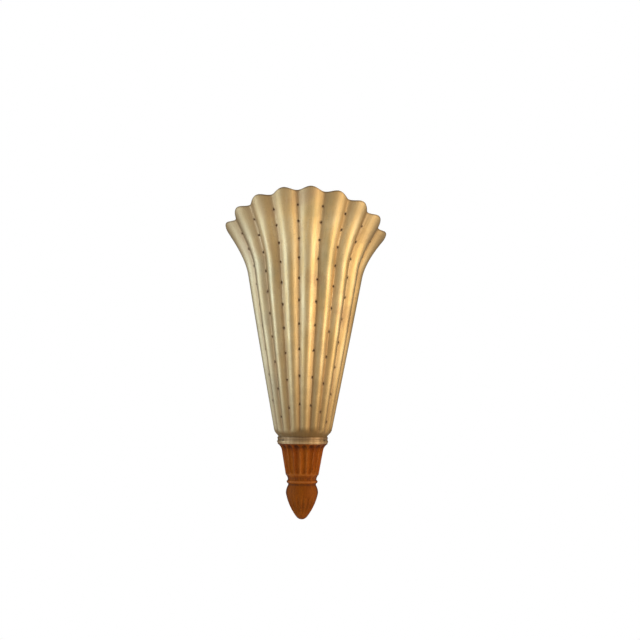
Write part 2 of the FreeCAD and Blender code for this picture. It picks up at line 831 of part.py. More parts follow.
def wood_screw_holes():
    radius = size.wood_screw + size.screw_clearance
    length = size.wood_screw_length + 2 * size.rest_gap
    y = number(PLATE_FRONT)
    return [
        Part.makeCylinder(radius, length, Vector(0, y, number(level)), Vector(0, -1, 0))
        for level in wood_screw_levels()
    ]


def build_wooden_drop():
    at = drop_stations()
    face = Part.Face(Part.Wire(drop_outline(at)))
    turned_wood = face.revolve(Vector(), Vector(0, 0, 1), -180)
    carved = turned_wood.cut(Part.makeCompound(around(flute_cutter(at))))
    carved = carved.cut(Part.makeCompound(around(gouge_cutter(at))))
    carved.translate(Vector(0, -size.wall_gap, 0))
    fitted = carved.cut(rebate(at))
    return feature(fitted.cut(Part.makeCompound(wood_screw_holes() + pin_holes())), "wooden_drop")


def build_drop_screws():
    length = "wood_screw_length + plate_thickness"
    screws = [pan_screw("wood_screw", length, ("0", PLATE_BACK, z)) for z in wood_screw_levels()]
    return keep(group(screws), "drop_screws")


# ---------------------------------------------------------------- wall bracket


def build_wall_bracket():
    body = doc.addObject("PartDesign::Body", "wall_bracket")
    strap = new_sketch(body, "XZ_Plane", "0")
    half_width, half_height = "strap_width / 2", "strap_height / 2"
    corners = [(-1, -1), (1, -1), (1, 1), (-1, 1)]
    draw_outline(strap, [(f"{x} * {half_width}", f"{z} * {half_height}") for x, z in corners])
    draw_circle(strap, ("0", "0"), "cable_hole_radius")
    for side in SIDES:
        draw_circle(strap, ("0", f"{side} * screw_spacing / 2"), "wall_screw_radius")
    new_pad(body, strap, "strap_thickness")
    for side in SIDES:
        shelf = new_sketch(body, "YZ_Plane", "-lug_width / 2")
        draw_outline(shelf, lug_corners(f"{side} * lug_spacing / 2"))
        new_pad(body, shelf, "lug_width")
    return keep(body, "wall_bracket")


def lug_corners(top):
    """A shelf with a lip in front of the plate, from the side."""
    root = "-strap_thickness / 2"
    lip_back = f"{PLATE_FRONT} - hook_gap"
    lip_front = f"{lip_back} - lug_thickness"
    return [
        (root, f"{top} - lug_thickness"),
        (lip_front, f"{top} - lug_thickness"),
        (lip_front, f"{top} + lug_lip"),
        (lip_back, f"{top} + lug_lip"),
        (lip_back, top),
        (root, top),
    ]


# ---------------------------------------------------------------- back plate


def plate_outline():
    foot = "-plate_drop"
    end = "-(plate_drop + tongue_length)"
    right = [
        ("tongue_width / 2", end),
        ("tongue_width / 2", foot),
        (plate_edge(foot), foot),
        (plate_edge("plate_top"), "plate_top"),
    ]
    left = [(f"-({x})", z) for x, z in reversed(right)]
    return right + left


def window_outline(side):
    """A window whose upper edge hangs on a shelf of the bracket."""
    top = f"{side} * lug_spacing / 2 + rest_gap"
    half = "window_width / 2"
    return [
        (f"-{half}", f"{top} - window_height"),
        (half, f"{top} - window_height"),
        (half, top),
        (f"-{half}", top),
    ]


def build_back_plate():
    body = doc.addObject("PartDesign::Body", "back_plate")
    sketch = new_sketch(body, "XZ_Plane", "plate_stand")
    draw_outline(sketch, plate_outline())
    for side in SIDES:
        draw_outline(sketch, window_outline(side))
    draw_circle(sketch, ("0", "0"), "entry_radius")
    small = "small_screw + screw_clearance"
    large = "large_screw + screw_clearance"
    for centre in strip_screw_places():
        draw_circle(sketch, centre, small)
    for side in SIDES:
        draw_circle(sketch, (f"{side} * arm_screw_gap / 2", ARM_SCREW_LEVEL), large)
        draw_circle(sketch, (f"{side} * pole_pitch / 2", "-block_drop"), small)
    draw_circle(sketch, ("0", "-earth_drop"), large)
    for level in wood_screw_levels():
        draw_circle(sketch, ("0", level), "wood_screw + screw_clearance")
    new_pad(body, sketch, "plate_thickness")
    return keep(body, "back_plate")


def build_plate_screws():
    length = "plate_thickness + strip_thickness + screw_end"
    seats = [(x, PLATE_BACK, z) for x, z in strip_screw_places()]
    return keep(group([pan_screw("small_screw", length, seat) for seat in seats]), "plate_screws")


def build_grommet():
    """A rubber ring in the plate's cable hole, turned about the Y direction."""
    back = f"{PLATE_BACK} + rest_gap"
    front = f"{PLATE_FRONT} - rest_gap"
    barrel = "entry_radius - rest_gap"
    corners = [
        ("grommet_bore", f"{front} - flange_height"),
        ("grommet_radius", f"{front} - flange_height"),
        ("grommet_radius", front),
        (barrel, front),
        (barrel, back),
        ("grommet_radius", back),
        ("grommet_radius", f"{back} + flange_height"),
        ("grommet_bore", f"{back} + flange_height"),
    ]
    return keep(turned("grommet", corners, "0", "XY_Plane"), "grommet")


# ---------------------------------------------------------------- lamp arm and threaded tube


def build_lamp_arm():
    half = "arm_width / 2"
    foot_front = f"{PLATE_FRONT} - arm_thickness"
    foot = box(
        (f"-{half}", foot_front, ARM_UNDER),
        (half, PLATE_FRONT, "arm_foot - arm_drop"),
    )
    shelf = box((f"-{half}", f"{LAMP_Y} - arm_nose", ARM_UNDER), (half, PLATE_FRONT, ARM_TOP))
    bore = drill("nipple_radius + thread_clearance", "arm_thickness", ("0", LAMP_Y, ARM_UNDER))
    holes = [
        drill(
            "large_screw + screw_clearance",
            "arm_thickness",
            (f"{side} * arm_screw_gap / 2", PLATE_FRONT, ARM_SCREW_LEVEL),
            TO_ROOM,
        )
        for side in SIDES
    ]
    return keep(cut(fuse([foot, shelf]), [bore] + holes), "lamp_arm")


def build_arm_screws():
    length = "plate_thickness + arm_thickness + screw_end"
    seats = [(f"{side} * arm_screw_gap / 2", PLATE_BACK, ARM_SCREW_LEVEL) for side in SIDES]
    return keep(group([pan_screw("large_screw", length, seat) for seat in seats]), "arm_screws")


def build_nipple():
    low = f"{ARM_UNDER} - nipple_below"
    high = f"{ARM_TOP} + nipple_above"
    corners = [
        ("nipple_bore", low),
        ("nipple_radius", low),
        ("nipple_radius", high),
        ("nipple_bore", high),
    ]
    return keep(turned("nipple", corners), "nipple")


WASHER_FOOT = f"({ARM_UNDER} - rest_gap - washer_thickness)"


def build_toothed_washer():
    centre = ("0", LAMP_Y, WASHER_FOOT)
    disc = cylinder("washer_radius", "washer_thickness", centre)
    bore = drill("nipple_radius + thread_clearance", "washer_thickness", centre)
    notches = []
    for i in range(WASHER_TEETH):
        angle = 360 * i / WASHER_TEETH
        x = f"washer_radius * cos({angle})"
        y = f"{LAMP_Y} + washer_radius * sin({angle})"
        notches.append(drill("washer_notch", "washer_thickness", (x, y, WASHER_FOOT)))
    return keep(cut(disc, [bore] + notches), "toothed_washer")


def build_nipple_nut():
    prism = doc.addObject("Part::Prism", "hexagon")
    prism.Polygon = 6
    bind(prism, "Circumradius", "nut_width / 2 / cos(30)")
    bind(prism, "Height", "nut_height")
    foot = f"({WASHER_FOOT} - rest_gap - nut_height)"
    place(prism, ("0", LAMP_Y, foot))
    bore = drill("nipple_radius + screw_clearance", "nut_height", ("0", LAMP_Y, foot))
    return keep(cut(prism, [bore]), "nipple_nut")


# ---------------------------------------------------------------- lampholder


def build_lampholder_cap():
    wall = "holder_wall"
    bore = "nipple_radius + thread_clearance"
    shelf = f"{ARM_TOP} + cap_collar_height"
    corners = [
        (bore, ARM_TOP),
        ("cap_collar", ARM_TOP),
        ("cap_collar", f"{ARM_TOP} + cap_collar_height / 2"),
        ("holder_radius", f"{ARM_TOP} + cap_cone"),
        ("holder_radius", SPLIT),
        (f"holder_radius - {wall}", SPLIT),
        (f"holder_radius - {wall}", f"{ARM_TOP} + cap_cone + {wall} / 2"),
        (f"cap_collar - {wall} / 2", shelf),
        (bore, shelf),
    ]
    return keep(turned("lampholder_cap", corners), "lampholder_cap")


def build_lampholder_body():
    inner = "holder_radius - 2 * holder_wall + rest_gap"
    spigot = "holder_radius - holder_wall - rest_gap"
    top = f"{SPLIT} + body_height"
    corners = [
        (inner, f"{SPLIT} - spigot_height"),
        (spigot, f"{SPLIT} - spigot_height"),
        (spigot, SPLIT),
        ("holder_radius", SPLIT),
        ("holder_radius", f"{top} - 2 * mouth_wall"),
        ("holder_radius - mouth_wall", top),
        ("mouth_radius", top),
        ("mouth_radius", f"{top} - mouth_wall"),
        (inner, f"{top} - 2 * mouth_wall"),
    ]
    return keep(turned("lampholder_body", corners), "lampholder_body")


def build_lampholder_core():
    radius = "holder_radius - 2 * holder_wall + rest_gap - core_clearance"
    foot = f"({CORE_TOP} - core_height)"
    disc = cylinder(radius, "core_height", ("0", LAMP_Y, foot))
    return keep(disc, "lampholder_core")


def build_screw_shell():
    outer = "screw_shell_radius + screw_shell_wall"
    high = f"{CORE_TOP} + screw_shell_height"
    corners = [
        ("contact_radius + contact_gap", CORE_TOP),
        (outer, CORE_TOP),
        (outer, high),
        ("screw_shell_radius", high),
        ("screw_shell_radius", f"{CORE_TOP} + screw_shell_wall"),
        ("contact_radius + contact_gap", f"{CORE_TOP} + screw_shell_wall"),
    ]
    return keep(turned("screw_shell", corners), "screw_shell")


def build_centre_contact():
    disc = cylinder("contact_radius", "contact_height", ("0", LAMP_Y, CORE_TOP))
    return keep(disc, "centre_contact")


# ---------------------------------------------------------------- bulb


def build_bulb_contact():
    disc = cylinder("bulb_tip", "bulb_tip_height", ("0", LAMP_Y, TIP_LEVEL))
    return keep(disc, "bulb_contact")


BULB_CAP = "(screw_shell_radius - bulb_clearance)"


def build_bulb_insulator():
    radius = f"{BULB_CAP} - bulb_cap_wall - rest_gap"
    foot = f"{TIP_LEVEL} + bulb_tip_height"
    corners = [
        ("0", foot),
        ("insulator_foot", foot),
        (radius, CAP_FOOT),
        (radius, f"{foot} + insulator_height"),
        ("0", f"{foot} + insulator_height"),
    ]
    return keep(turned("bulb_insulator", corners), "bulb_insulator")


def build_bulb_cap():
    inner = f"{BULB_CAP} - bulb_cap_wall"
    high = f"{CAP_FOOT} + bulb_cap_height"
    flared = f"{high} + bulb_cap_rim"
    corners = [
        (inner, CAP_FOOT),
        (BULB_CAP, CAP_FOOT),
        (BULB_CAP, high),
        (f"{BULB_CAP} + bulb_cap_flare", flared),
        (f"{inner} + bulb_cap_flare", flared),
        (inner, high),
    ]
    return keep(turned("bulb_cap", corners), "bulb_cap")


def glass_outline(inset):
    """Half the candle shape; the inset keeps the wall even."""
    foot = number(CAP_FOOT) + size.bulb_cap_height / 3
    neck = size.glass_neck - inset
    start = Vector(neck, 0, foot)
    points = [Vector(neck, 0, foot + CANDLE_NECK * size.glass_length)]
    for height_share, radius_share in CANDLE_SHARES:
        height = foot + height_share * size.glass_length
        points.append(Vector(radius_share * size.glass_radius - inset, 0, height))
    tip = Vector(0, 0, foot + size.glass_length - inset)
    curve = Part.BSplineCurve()
    curve.interpolate(
        Points=points + [tip],
        InitialTangent=Vector(0, 0, 1),
        FinalTangent=Vector(-1, 0, 0),
    )
    return start, [straight(start, points[0]), curve.toShape()], tip


def build_bulb_glass():
    foot, outside, tip = glass_outline(0)
    inner_foot, inside, inner_tip = glass_outline(size.glass_wall)
    edges = outside + [straight(tip, inner_tip)] + inside + [straight(inner_foot, foot)]
    face = Part.Face(Part.Wire(Part.__sortEdges__(edges)))
    glass = face.revolve(Vector(), Vector(0, 0, 1), 360)
    return feature(glass, "bulb_glass", Vector(0, -size.lamp_reach, 0))


STEM_FOOT = f"({TIP_LEVEL} + bulb_tip_height + insulator_height)"


def build_bulb_stem():
    flared = f"{BULB_CAP} - bulb_cap_wall - glass_wall - stem_gap"
    top = f"{STEM_FOOT} + stem_height"
    corners = [
        ("0", STEM_FOOT),
        (flared, STEM_FOOT),
        ("stem_radius", f"{STEM_FOOT} + stem_height / 3"),
        ("stem_radius", top),
        ("0", top),
    ]
    return keep(turned("bulb_stem", corners), "bulb_stem")


def tube(points, radius):
    """A round wire along straight runs joined by tangent arcs, with its arc radii printed."""
    edges = []
    radii = []
    start = points[0]
    for i in range(1, len(points) - 1):
        back = points[i - 1] - points[i]
        ahead = points[i + 1] - points[i]
        shorter = min(back.Length, ahead.Length)
        turn = math.pi - back.getAngle(ahead)
        trim = BEND_SHARE * shorter
        radii.append(trim / math.tan(turn / 2))
        enter = points[i] + back.normalize() * trim
        leave = points[i] + ahead.normalize() * trim
        bisector = (back + ahead).normalize()
        crown = points[i] + bisector * (radii[-1] / math.cos(turn / 2) - radii[-1])
        edges.append(straight(start, enter))
        edges.append(Part.Arc(enter, crown, leave).toShape())
        start = leave
    edges.append(straight(start, points[-1]))
    path = Part.Wire(edges)
    section = Part.Wire(Part.makeCircle(radius, points[0], points[1] - points[0]))
    solid = path.makePipeShell([section], True, False)
    share = solid.Volume / (math.pi * radius**2 * path.Length)
    print("arc radii", [round(r, 1) for r in radii], "volume over section times length", round(share, 4))
    return solid


def build_bulb_filament():
    """Two support wires and the bow between them, standing on the stem."""
    foot = number(STEM_FOOT) + size.stem_height + size.rest_gap
    y = -size.lamp_reach
    side = size.filament_width / 2
    near = size.stem_radius / 2
    top = foot + size.filament_height
    bend = top - size.filament_bow
    left = [Vector(-near, y, foot), Vector(-side, y, bend)]
    crown = [Vector(-side / 2, y, top), Vector(side / 2, y, top)]
    right = [Vector(side, y, bend), Vector(near, y, foot)]
    return feature(tube(left + crown + right, size.wire_radius), "bulb_filament")


# ---------------------------------------------------------------- terminal block, earth, leads


def pole_x(pole):
    return f"{pole} * pole_pitch"


def clamp_levels():
    return [f"{side} * clamp_gap / 2 - block_drop" for side in SIDES]


def build_terminal_block():
    half = "1.5 * pole_pitch"
    front = f"({PLATE_FRONT} - block_depth)"
    low = "-block_drop - block_height / 2"
    block = box((f"-{half}", front, low), (half, PLATE_FRONT, "block_height / 2 - block_drop"))
    tools = []
    for pole in POLES:
        at = (pole_x(pole), POLE_Y, low)
        tools.append(drill("insert_radius + insert_clearance", "block_height", at))
        for level in clamp_levels():
            at = (pole_x(pole), POLE_Y, level)
            tools.append(cylinder("clamp_hole", "block_depth", at, TO_ROOM))
    for side in SIDES:
        at = (f"{side} * pole_pitch / 2", PLATE_FRONT, "-block_drop")
        tools.append(drill("small_screw + screw_clearance", "block_depth", at, TO_ROOM))
    return keep(cut(block, tools), "terminal_block")


def build_terminal_inserts():
    inserts = []
    for pole in POLES:
        foot = (pole_x(pole), POLE_Y, "-block_drop - insert_length / 2")
        barrel = cylinder("insert_radius", "insert_length", foot)
        bore = drill("lead_radius + lead_clearance", "insert_length", foot)
        taps = [
            cylinder(
                "small_screw + screw_clearance",
                "insert_radius + overcut",
                (pole_x(pole), POLE_Y, level),
                TO_ROOM,
            )
            for level in clamp_levels()
        ]
        inserts.append(cut(barrel, [bore] + taps))
    return keep(group(inserts), "terminal_inserts")


def build_terminal_screws():
    tip = f"{POLE_Y} - lead_radius - rest_gap"
    screws = []
    for pole in POLES:
        for level in clamp_levels():
            at = (pole_x(pole), tip, level)
            screws.append(cylinder("small_screw", "clamp_length", at, TO_ROOM))
    return keep(group(screws), "terminal_screws")


def build_block_screws():
    """Two screws from the room's side, tapped into the plate."""
    front = f"{PLATE_FRONT} - block_depth"
    screws = []
    for side in SIDES:
        x = f"{side} * pole_pitch / 2"
        head_at = (x, front, "-block_drop")
        head = cylinder("small_screw * head_ratio", "head_height", head_at, TO_ROOM)
        stem_at = (x, PLATE_BACK, "-block_drop")
        stem = cylinder("small_screw", "block_depth + plate_thickness", stem_at, TO_ROOM)
        screws.append(fuse([head, stem]))
    return keep(group(screws), "block_screws")


BARREL_RADIUS = "(lead_radius + lead_clearance + barrel_wall)"
BARREL_Y = f"({PLATE_FRONT} - {BARREL_RADIUS})"


def build_earth_lug():
    """A ring under the earth screw, with a barrel for the earth lead."""
    front = f"{PLATE_FRONT} - lug_sheet"
    ring_plate = cylinder("lug_ring", "lug_sheet", ("0", PLATE_FRONT, "-earth_drop"), TO_ROOM)
    neck = box(
        (f"-{BARREL_RADIUS}", front, "-(earth_drop + barrel_gap + lug_sheet)"),
        (BARREL_RADIUS, PLATE_FRONT, "-earth_drop"),
    )
    foot = ("0", BARREL_Y, "-(earth_drop + barrel_gap + barrel_length)")
    barrel = cylinder(BARREL_RADIUS, "barrel_length", foot)
    centre = ("0", PLATE_FRONT, "-earth_drop")
    hole = drill("large_screw + screw_clearance", "lug_sheet", centre, TO_ROOM)
    bore = drill("lead_radius + lead_clearance", "barrel_length", foot)
    return keep(cut(fuse([ring_plate, neck, barrel]), [hole, bore]), "earth_lug")


def build_earth_screw():
    """Driven from the room's side, so that its head clamps the lug."""
    seat = f"{PLATE_FRONT} - lug_sheet"
    head = cylinder("large_screw * head_ratio", "head_height", ("0", seat, "-earth_drop"), TO_ROOM)
    stem = cylinder(
        "large_screw",
        "plate_thickness + lug_sheet + screw_end",
        ("0", f"{PLATE_BACK} + screw_end", "-earth_drop"),
        TO_ROOM,
    )
    return keep(fuse([head, stem]), "earth_screw")


def lamp_lead(label, side):
    """From a pole, forward to the lamp's axis and up through the threaded tube."""
    x, y = side * size.pole_pitch, number(POLE_Y)
    terminal_top = size.insert_length / 2 - size.block_drop
    turn_level = terminal_top + size.lead_start
    axis_x, axis_y = side * size.lead_spread / 2, -size.lamp_reach
    end = number(CORE_TOP) - size.core_height - size.rest_gap
    points = [
        Vector(x, y, terminal_top - size.lead_grip),
        Vector(x, y, turn_level),
        Vector(axis_x, axis_y, turn_level + size.lead_rise),
        Vector(axis_x, axis_y, end),
    ]
    return feature(tube(points, size.lead_radius), label)


def build_earth_lead():
    y = number(POLE_Y)
    terminal_top = size.insert_length / 2 - size.block_drop
    barrel_foot = -(size.earth_drop + size.barrel_gap + size.barrel_length)
    barrel_y = number(BARREL_Y)
    points = [
        Vector(0, y, terminal_top - size.lead_grip),
        Vector(0, y, terminal_top + size.lead_start / 2),
        Vector(0, barrel_y, barrel_foot - size.lead_start / 2),
        Vector(0, barrel_y, barrel_foot + size.lead_grip),
    ]
    return feature(tube(points, size.lead_radius), "earth_lead")


# ---------------------------------------------------------------- the whole light

build_wall_bracket()
build_shade()
build_side_strip("side_strip_left", -1)
build_side_strip("side_strip_right", 1)
build_back_plate()
build_plate_screws()
build_collar()
build_collar_pins()
build_wooden_drop()
build_drop_screws()
build_lamp_arm()
build_arm_screws()
build_nipple()
build_toothed_washer()
build_nipple_nut()
build_lampholder_cap()
build_lampholder_body()
build_lampholder_core()
build_screw_shell()
build_centre_contact()
build_bulb_contact()
build_bulb_insulator()
build_bulb_cap()
build_bulb_glass()
build_bulb_stem()
build_bulb_filament()
build_terminal_block()
build_terminal_inserts()
build_terminal_screws()
build_block_screws()
build_earth_lug()
build_earth_screw()
lamp_lead("live_lead", -1)
lamp_lead("neutral_lead", 1)
build_earth_lead()
build_grommet()

doc.recompute()
for item in doc.Objects:
    if "Invalid" in item.State or "Error" in item.State:
        raise RuntimeError(f"{item.Label} could not be worked out: {item.State}")
for part in subparts:
    if part.Shape.isNull() or not part.Shape.isValid():
        raise RuntimeError(f"{part.Label} has no valid shape")

os.makedirs("parts", exist_ok=True)
for part in subparts:
    part.Shape.exportStep(f"parts/{part.Label}.step")
    extent = part.Shape.BoundBox
    print(
        f"{part.Label:18s} solids {len(part.Shape.Solids)}  volume {part.Shape.Volume:10.1f}"
        f"  x {extent.XMin:7.1f} {extent.XMax:7.1f}  y {extent.YMin:7.1f} {extent.YMax:6.1f}"
        f"  z {extent.ZMin:7.1f} {extent.ZMax:7.1f}"
    )
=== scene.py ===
# %% [markdown]
# # A shell wall sconce
# Half a cone of ribbed sheet brass stands on a carved wooden drop and hangs flat on the wall. The
# CAD model is loaded first and stays fixed, because it says where every piece is. What shows and
# needs a finer surface, the shell, the drop and the screws, is then modelled again in its place.

# %% Load the frame
import json
import math

import bmesh
import bpy
import numpy as np
from mathutils import Matrix, Vector


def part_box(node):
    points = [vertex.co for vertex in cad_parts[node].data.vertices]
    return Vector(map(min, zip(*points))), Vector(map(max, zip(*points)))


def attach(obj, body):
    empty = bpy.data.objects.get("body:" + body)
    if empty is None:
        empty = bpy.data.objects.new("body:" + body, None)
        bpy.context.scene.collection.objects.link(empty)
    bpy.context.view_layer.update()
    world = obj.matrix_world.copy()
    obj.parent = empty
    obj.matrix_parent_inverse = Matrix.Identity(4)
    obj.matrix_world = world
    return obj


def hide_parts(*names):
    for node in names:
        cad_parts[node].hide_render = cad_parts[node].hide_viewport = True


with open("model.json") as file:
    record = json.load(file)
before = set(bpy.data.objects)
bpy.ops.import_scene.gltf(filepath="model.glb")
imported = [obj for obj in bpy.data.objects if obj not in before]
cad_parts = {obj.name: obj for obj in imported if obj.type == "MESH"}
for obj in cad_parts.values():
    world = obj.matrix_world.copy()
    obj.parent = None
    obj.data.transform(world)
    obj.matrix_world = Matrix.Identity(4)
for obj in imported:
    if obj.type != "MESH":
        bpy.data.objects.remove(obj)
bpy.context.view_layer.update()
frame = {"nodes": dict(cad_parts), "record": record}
nodes = frame["nodes"]
MM = 0.001


def in_mm(corners):
    """Rounds corners in metres to tenths of a millimetre, to print them."""
    return [[round(float(v) / MM, 1) for v in corner] for corner in corners]


# %% [markdown]
# ## Measures
# The wall is the plane Y = 0, the light stands out toward -Y and Z is up. The brass shell is half a
# cone, so nearly everything on it is easier to say as a level and an angle round its axis. The
# axis stands half a millimetre in front of the wall. These are the measures of the real shell, in
# metres, and the functions that give its radius at a level. Its nine ribs are broad and round on
# the crest and creased in the valley between two of them.

# %% Measures of the shell
WALL_GAP = 0.5 * MM
SHEET = 1.2 * MM
RIBS, RIB_DEPTH, CREASE = 9, 0.08, 0.15
NECK_END, NECK, SHOULDER = -170.2 * MM, -160 * MM, -145 * MM
RIM, FLARE = 136.6 * MM, 74.6 * MM
NECK_RADIUS = 36 * MM
CONE_RADIUS, CONE_SLOPE = 44.8 * MM, 0.19
FLARE_REACH, FLARE_LIP = 24 * MM, 0.61
RIM_RISE, RIM_LEAN, SCALLOP = 62.7 * MM, 0.042, 5.2 * MM


def cone_radius(level):
    return CONE_RADIUS + CONE_SLOPE * (level - SHOULDER)


def shell_radius(level):
    if level <= NECK:
        return NECK_RADIUS
    radius = cone_radius(level)
    if level < SHOULDER:
        down = (SHOULDER - level) / (SHOULDER - NECK)
        radius -= (cone_radius(NECK) - NECK_RADIUS) * down**5 * (6 - 5 * down)
    if level > FLARE:
        up = (level - FLARE) / (RIM - FLARE)
        radius += FLARE_REACH * (3 * up**2 - 2 * up**3)
        radius += FLARE_LIP * (RIM - FLARE) * (up**3 - up**2)
    return radius


def crest_height(turn):
    """How high a rib stands at a turn from its crest, creased where it meets the next one."""
    return math.sqrt(math.cos(turn) ** 2 + CREASE**2) - CREASE


def rib_wave(turn):
    """0 on a crest and 1 in a valley, for a turn of 0 to 90 degrees between them."""
    return 1 - crest_height(turn) / crest_height(0)


def share(level):
    """How far up the shell a level lies, from 0 at the neck to 1 at the rim."""
    return max(0.0, (level - NECK) / (RIM - NECK))


print("radius at the rim in mm:", round(shell_radius(RIM) / MM, 1))

# %% [markdown]
# ## Helpers for modelling
# An operator of Blender acts on everything that is selected, and loading the frame leaves its
# nodes selected. So each new piece starts from an empty selection. In edit mode the same holds
# for vertices and faces: they are picked by where they are or where they look, and then moved
# with the transform operators. Turning and stretching are given their centre, because without a
# window the pivot setting is ignored.

# %% Helpers for selecting and moving


def deselect():
    if bpy.context.mode != "OBJECT":
        bpy.ops.object.mode_set(mode="OBJECT")
    bpy.ops.object.select_all(action="DESELECT")


def only(piece):
    """Makes a piece the one that the next operators act on."""
    deselect()
    piece.select_set(True)
    bpy.context.view_layer.objects.active = piece


def edit(piece):
    only(piece)
    bpy.ops.object.mode_set(mode="EDIT")
    bpy.ops.mesh.select_mode(type="VERT")
    return bmesh.from_edit_mesh(piece.data)


def pick(mesh, chosen):
    """Selects these vertices and nothing else."""
    bpy.ops.mesh.select_all(action="DESELECT")
    for vertex in chosen:
        vertex.select = True
    mesh.select_flush(True)


def pick_faces(mesh, looks):
    """Selects the faces whose normal has a Z that passes a test, and nothing else."""
    bpy.ops.mesh.select_mode(type="FACE")
    bpy.ops.mesh.select_all(action="DESELECT")
    for face in mesh.faces:
        face.select = looks(face.normal.z)


def stretch(factors, centre=(0, 0, 0)):
    bpy.ops.transform.resize(value=factors, center_override=centre)


def raise_by(height):
    bpy.ops.transform.translate(value=(0, 0, height))


def draw_in(mesh, chosen, factor):
    """Moves vertices toward the axis, to a share of their distance from it."""
    pick(mesh, chosen)
    stretch((factor, factor, 1), (0, -WALL_GAP, 0))


# %% [markdown]
# ## Helpers for modifiers and copies
# A modifier is added, set and applied at once, so that every piece ends as a plain mesh. What
# repeats is modelled once and copied, and every copy gets a mesh of its own before all of them
# are joined.

# %% Helpers for modifiers and copies


def apply_modifier(piece, kind, **settings):
    only(piece)
    modifier = piece.modifiers.new(kind.lower(), kind)
    for name, value in settings.items():
        setattr(modifier, name, value)
    bpy.ops.object.modifier_apply(modifier=modifier.name)


def cut_away(piece, cutter):
    """Takes a cutter's volume out of a piece, and then removes the cutter."""
    apply_modifier(piece, "BOOLEAN", object=cutter, operation="DIFFERENCE", solver="EXACT")
    bpy.data.objects.remove(cutter)


def smooth(piece, degrees):
    """Shades a piece smooth, with its edges sharper than this kept."""
    only(piece)
    bpy.ops.object.shade_smooth_by_angle(angle=math.radians(degrees))


def join_copies(pattern, places):
    """Joins copies of a pattern, one at each matrix, and removes the pattern."""
    copies = []
    for place in places:
        copy = pattern.copy()
        copy.data = pattern.data.copy()
        copy.matrix_world = place
        bpy.context.scene.collection.objects.link(copy)
        copies.append(copy)
    bpy.data.objects.remove(pattern)
    only(copies[0])
    for copy in copies:
        copy.select_set(True)
    if len(copies) > 1:
        bpy.ops.object.join()
    return bpy.context.object


def place_in_mesh(piece, name):
    """Names a piece and moves its place from the object into the mesh."""
    only(piece)
    piece.name = piece.data.name = name
    bpy.ops.object.transform_apply(location=True, rotation=True, scale=True)


# %% [markdown]
# ## Helpers for turned pieces
# The shell and the drop are both turned: an outline is spun half round the axis, and then its
# columns are drawn in where a rib or a flute is hollow. So the vertices have to be found again by
# their row in the outline and their column round the axis.

# %% Helpers for turned pieces


def lathe(name, outline, steps):
    """Draws (radius, level) points by extruding a vertex, and spins them half round."""
    deselect()
    radius, level = outline[0]
    bpy.ops.mesh.primitive_plane_add(size=MM, location=(-radius, -WALL_GAP, level))
    piece = bpy.context.object
    piece.name = piece.data.name = name
    bpy.ops.object.transform_apply(location=True)
    edit(piece)
    bpy.ops.mesh.select_all(action="SELECT")
    bpy.ops.mesh.merge(type="CENTER")
    for (start, low), (end, high) in zip(outline[:-1], outline[1:]):
        move = {"value": (start - end, 0, high - low)}
        bpy.ops.mesh.extrude_vertices_move(TRANSFORM_OT_translate=move)
    bpy.ops.mesh.select_all(action="SELECT")
    bpy.ops.mesh.spin(steps=steps, angle=-math.pi, center=(0, -WALL_GAP, 0), axis=(0, 0, 1))
    bpy.ops.mesh.select_all(action="SELECT")
    bpy.ops.mesh.remove_doubles(threshold=1e-6)
    bpy.ops.mesh.normals_make_consistent(inside=False)
    bpy.ops.object.mode_set(mode="OBJECT")
    return piece


def sort_vertices(mesh, outline, steps):
    """The vertices of a turned piece as a dictionary from (row, column)."""
    corners = np.array(outline)
    found = {}
    for vertex in mesh.verts:
        x, y, z = vertex.co
        radius = math.hypot(x, y + WALL_GAP)
        row = int(np.argmin(np.hypot(corners[:, 0] - radius, corners[:, 1] - z)))
        angle = math.atan2(x, -(y + WALL_GAP))
        found[row, round((angle / math.pi + 0.5) * steps)] = vertex
    return found


def alike(step, period, steps):
    """The columns this many steps from the middle of their rib or flute, all round."""
    away = [(column + period // 2) % period for column in range(steps + 1)]
    return [column for column, s in enumerate(away) if min(s, period - s) == step]


def extent(piece):
    points = np.array([v.co for v in piece.data.vertices])
    return in_mm((points.min(0), points.max(0)))


# %% [markdown]
# ## The shell: a turned half
# The real shell was spun or pressed from sheet brass. The model starts in the same way: its side
# outline is drawn by extruding one vertex from level to level, and the spin operator carries it
# half round the axis. Twelve steps for each rib leave enough columns to shape the ribs from.

# %% Turn the plain half of the shell
RIB_STEPS = 12
COLUMNS = RIB_STEPS * RIBS
levels = [NECK_END, (NECK_END + NECK) / 2]
levels += list(np.linspace(NECK, SHOULDER, 7))
levels += list(np.linspace(SHOULDER, FLARE, 15))[1:]
levels += list(np.linspace(FLARE, RIM, 13))[1:]
outline = [(shell_radius(level), float(level)) for level in levels]
shell = lathe("shell", outline, COLUMNS)
print("rows", len(levels), "vertices", len(shell.data.vertices))

# %% [markdown]
# ## The shell: rim and ribs
# In front the rim stands 63 mm higher than at the sides. Each level is a flat ring, so it is
# tilted about its own centre and then stretched along Y until it is round again as seen from
# above. The ribs come next: the columns between two crests are drawn in toward the axis with
# resize, most of all in the valley. They grow out of the round neck over the height of the
# shoulder. Then the top rows rise on the crests and sink in the valleys, which scallops the rim.
# The hand-made rim also leans a little. That moves every vertex by an amount of its own, which
# would take thousands of operator calls, so it is one line that changes the vertices directly.

# %% Tilt the rings
LEAST_TILT = 0.05 * MM
mesh = edit(shell)
grid = sort_vertices(mesh, outline, COLUMNS)
for row, level in enumerate(levels):
    rise = RIM_RISE * share(level) ** 4
    if rise < LEAST_TILT:
        continue
    pick(mesh, [grid[row, column] for column in range(COLUMNS + 1)])
    tilt, centre = math.asin(rise / shell_radius(level)), (0, -WALL_GAP, level)
    # Without a window this operator turns the other way round, so a plus sign lifts the front.
    bpy.ops.transform.rotate(value=tilt, orient_axis="X", center_override=centre)
    stretch((1, 1 / math.cos(tilt), 1), centre)
print("the front rises in mm:", round(rise / MM, 1))

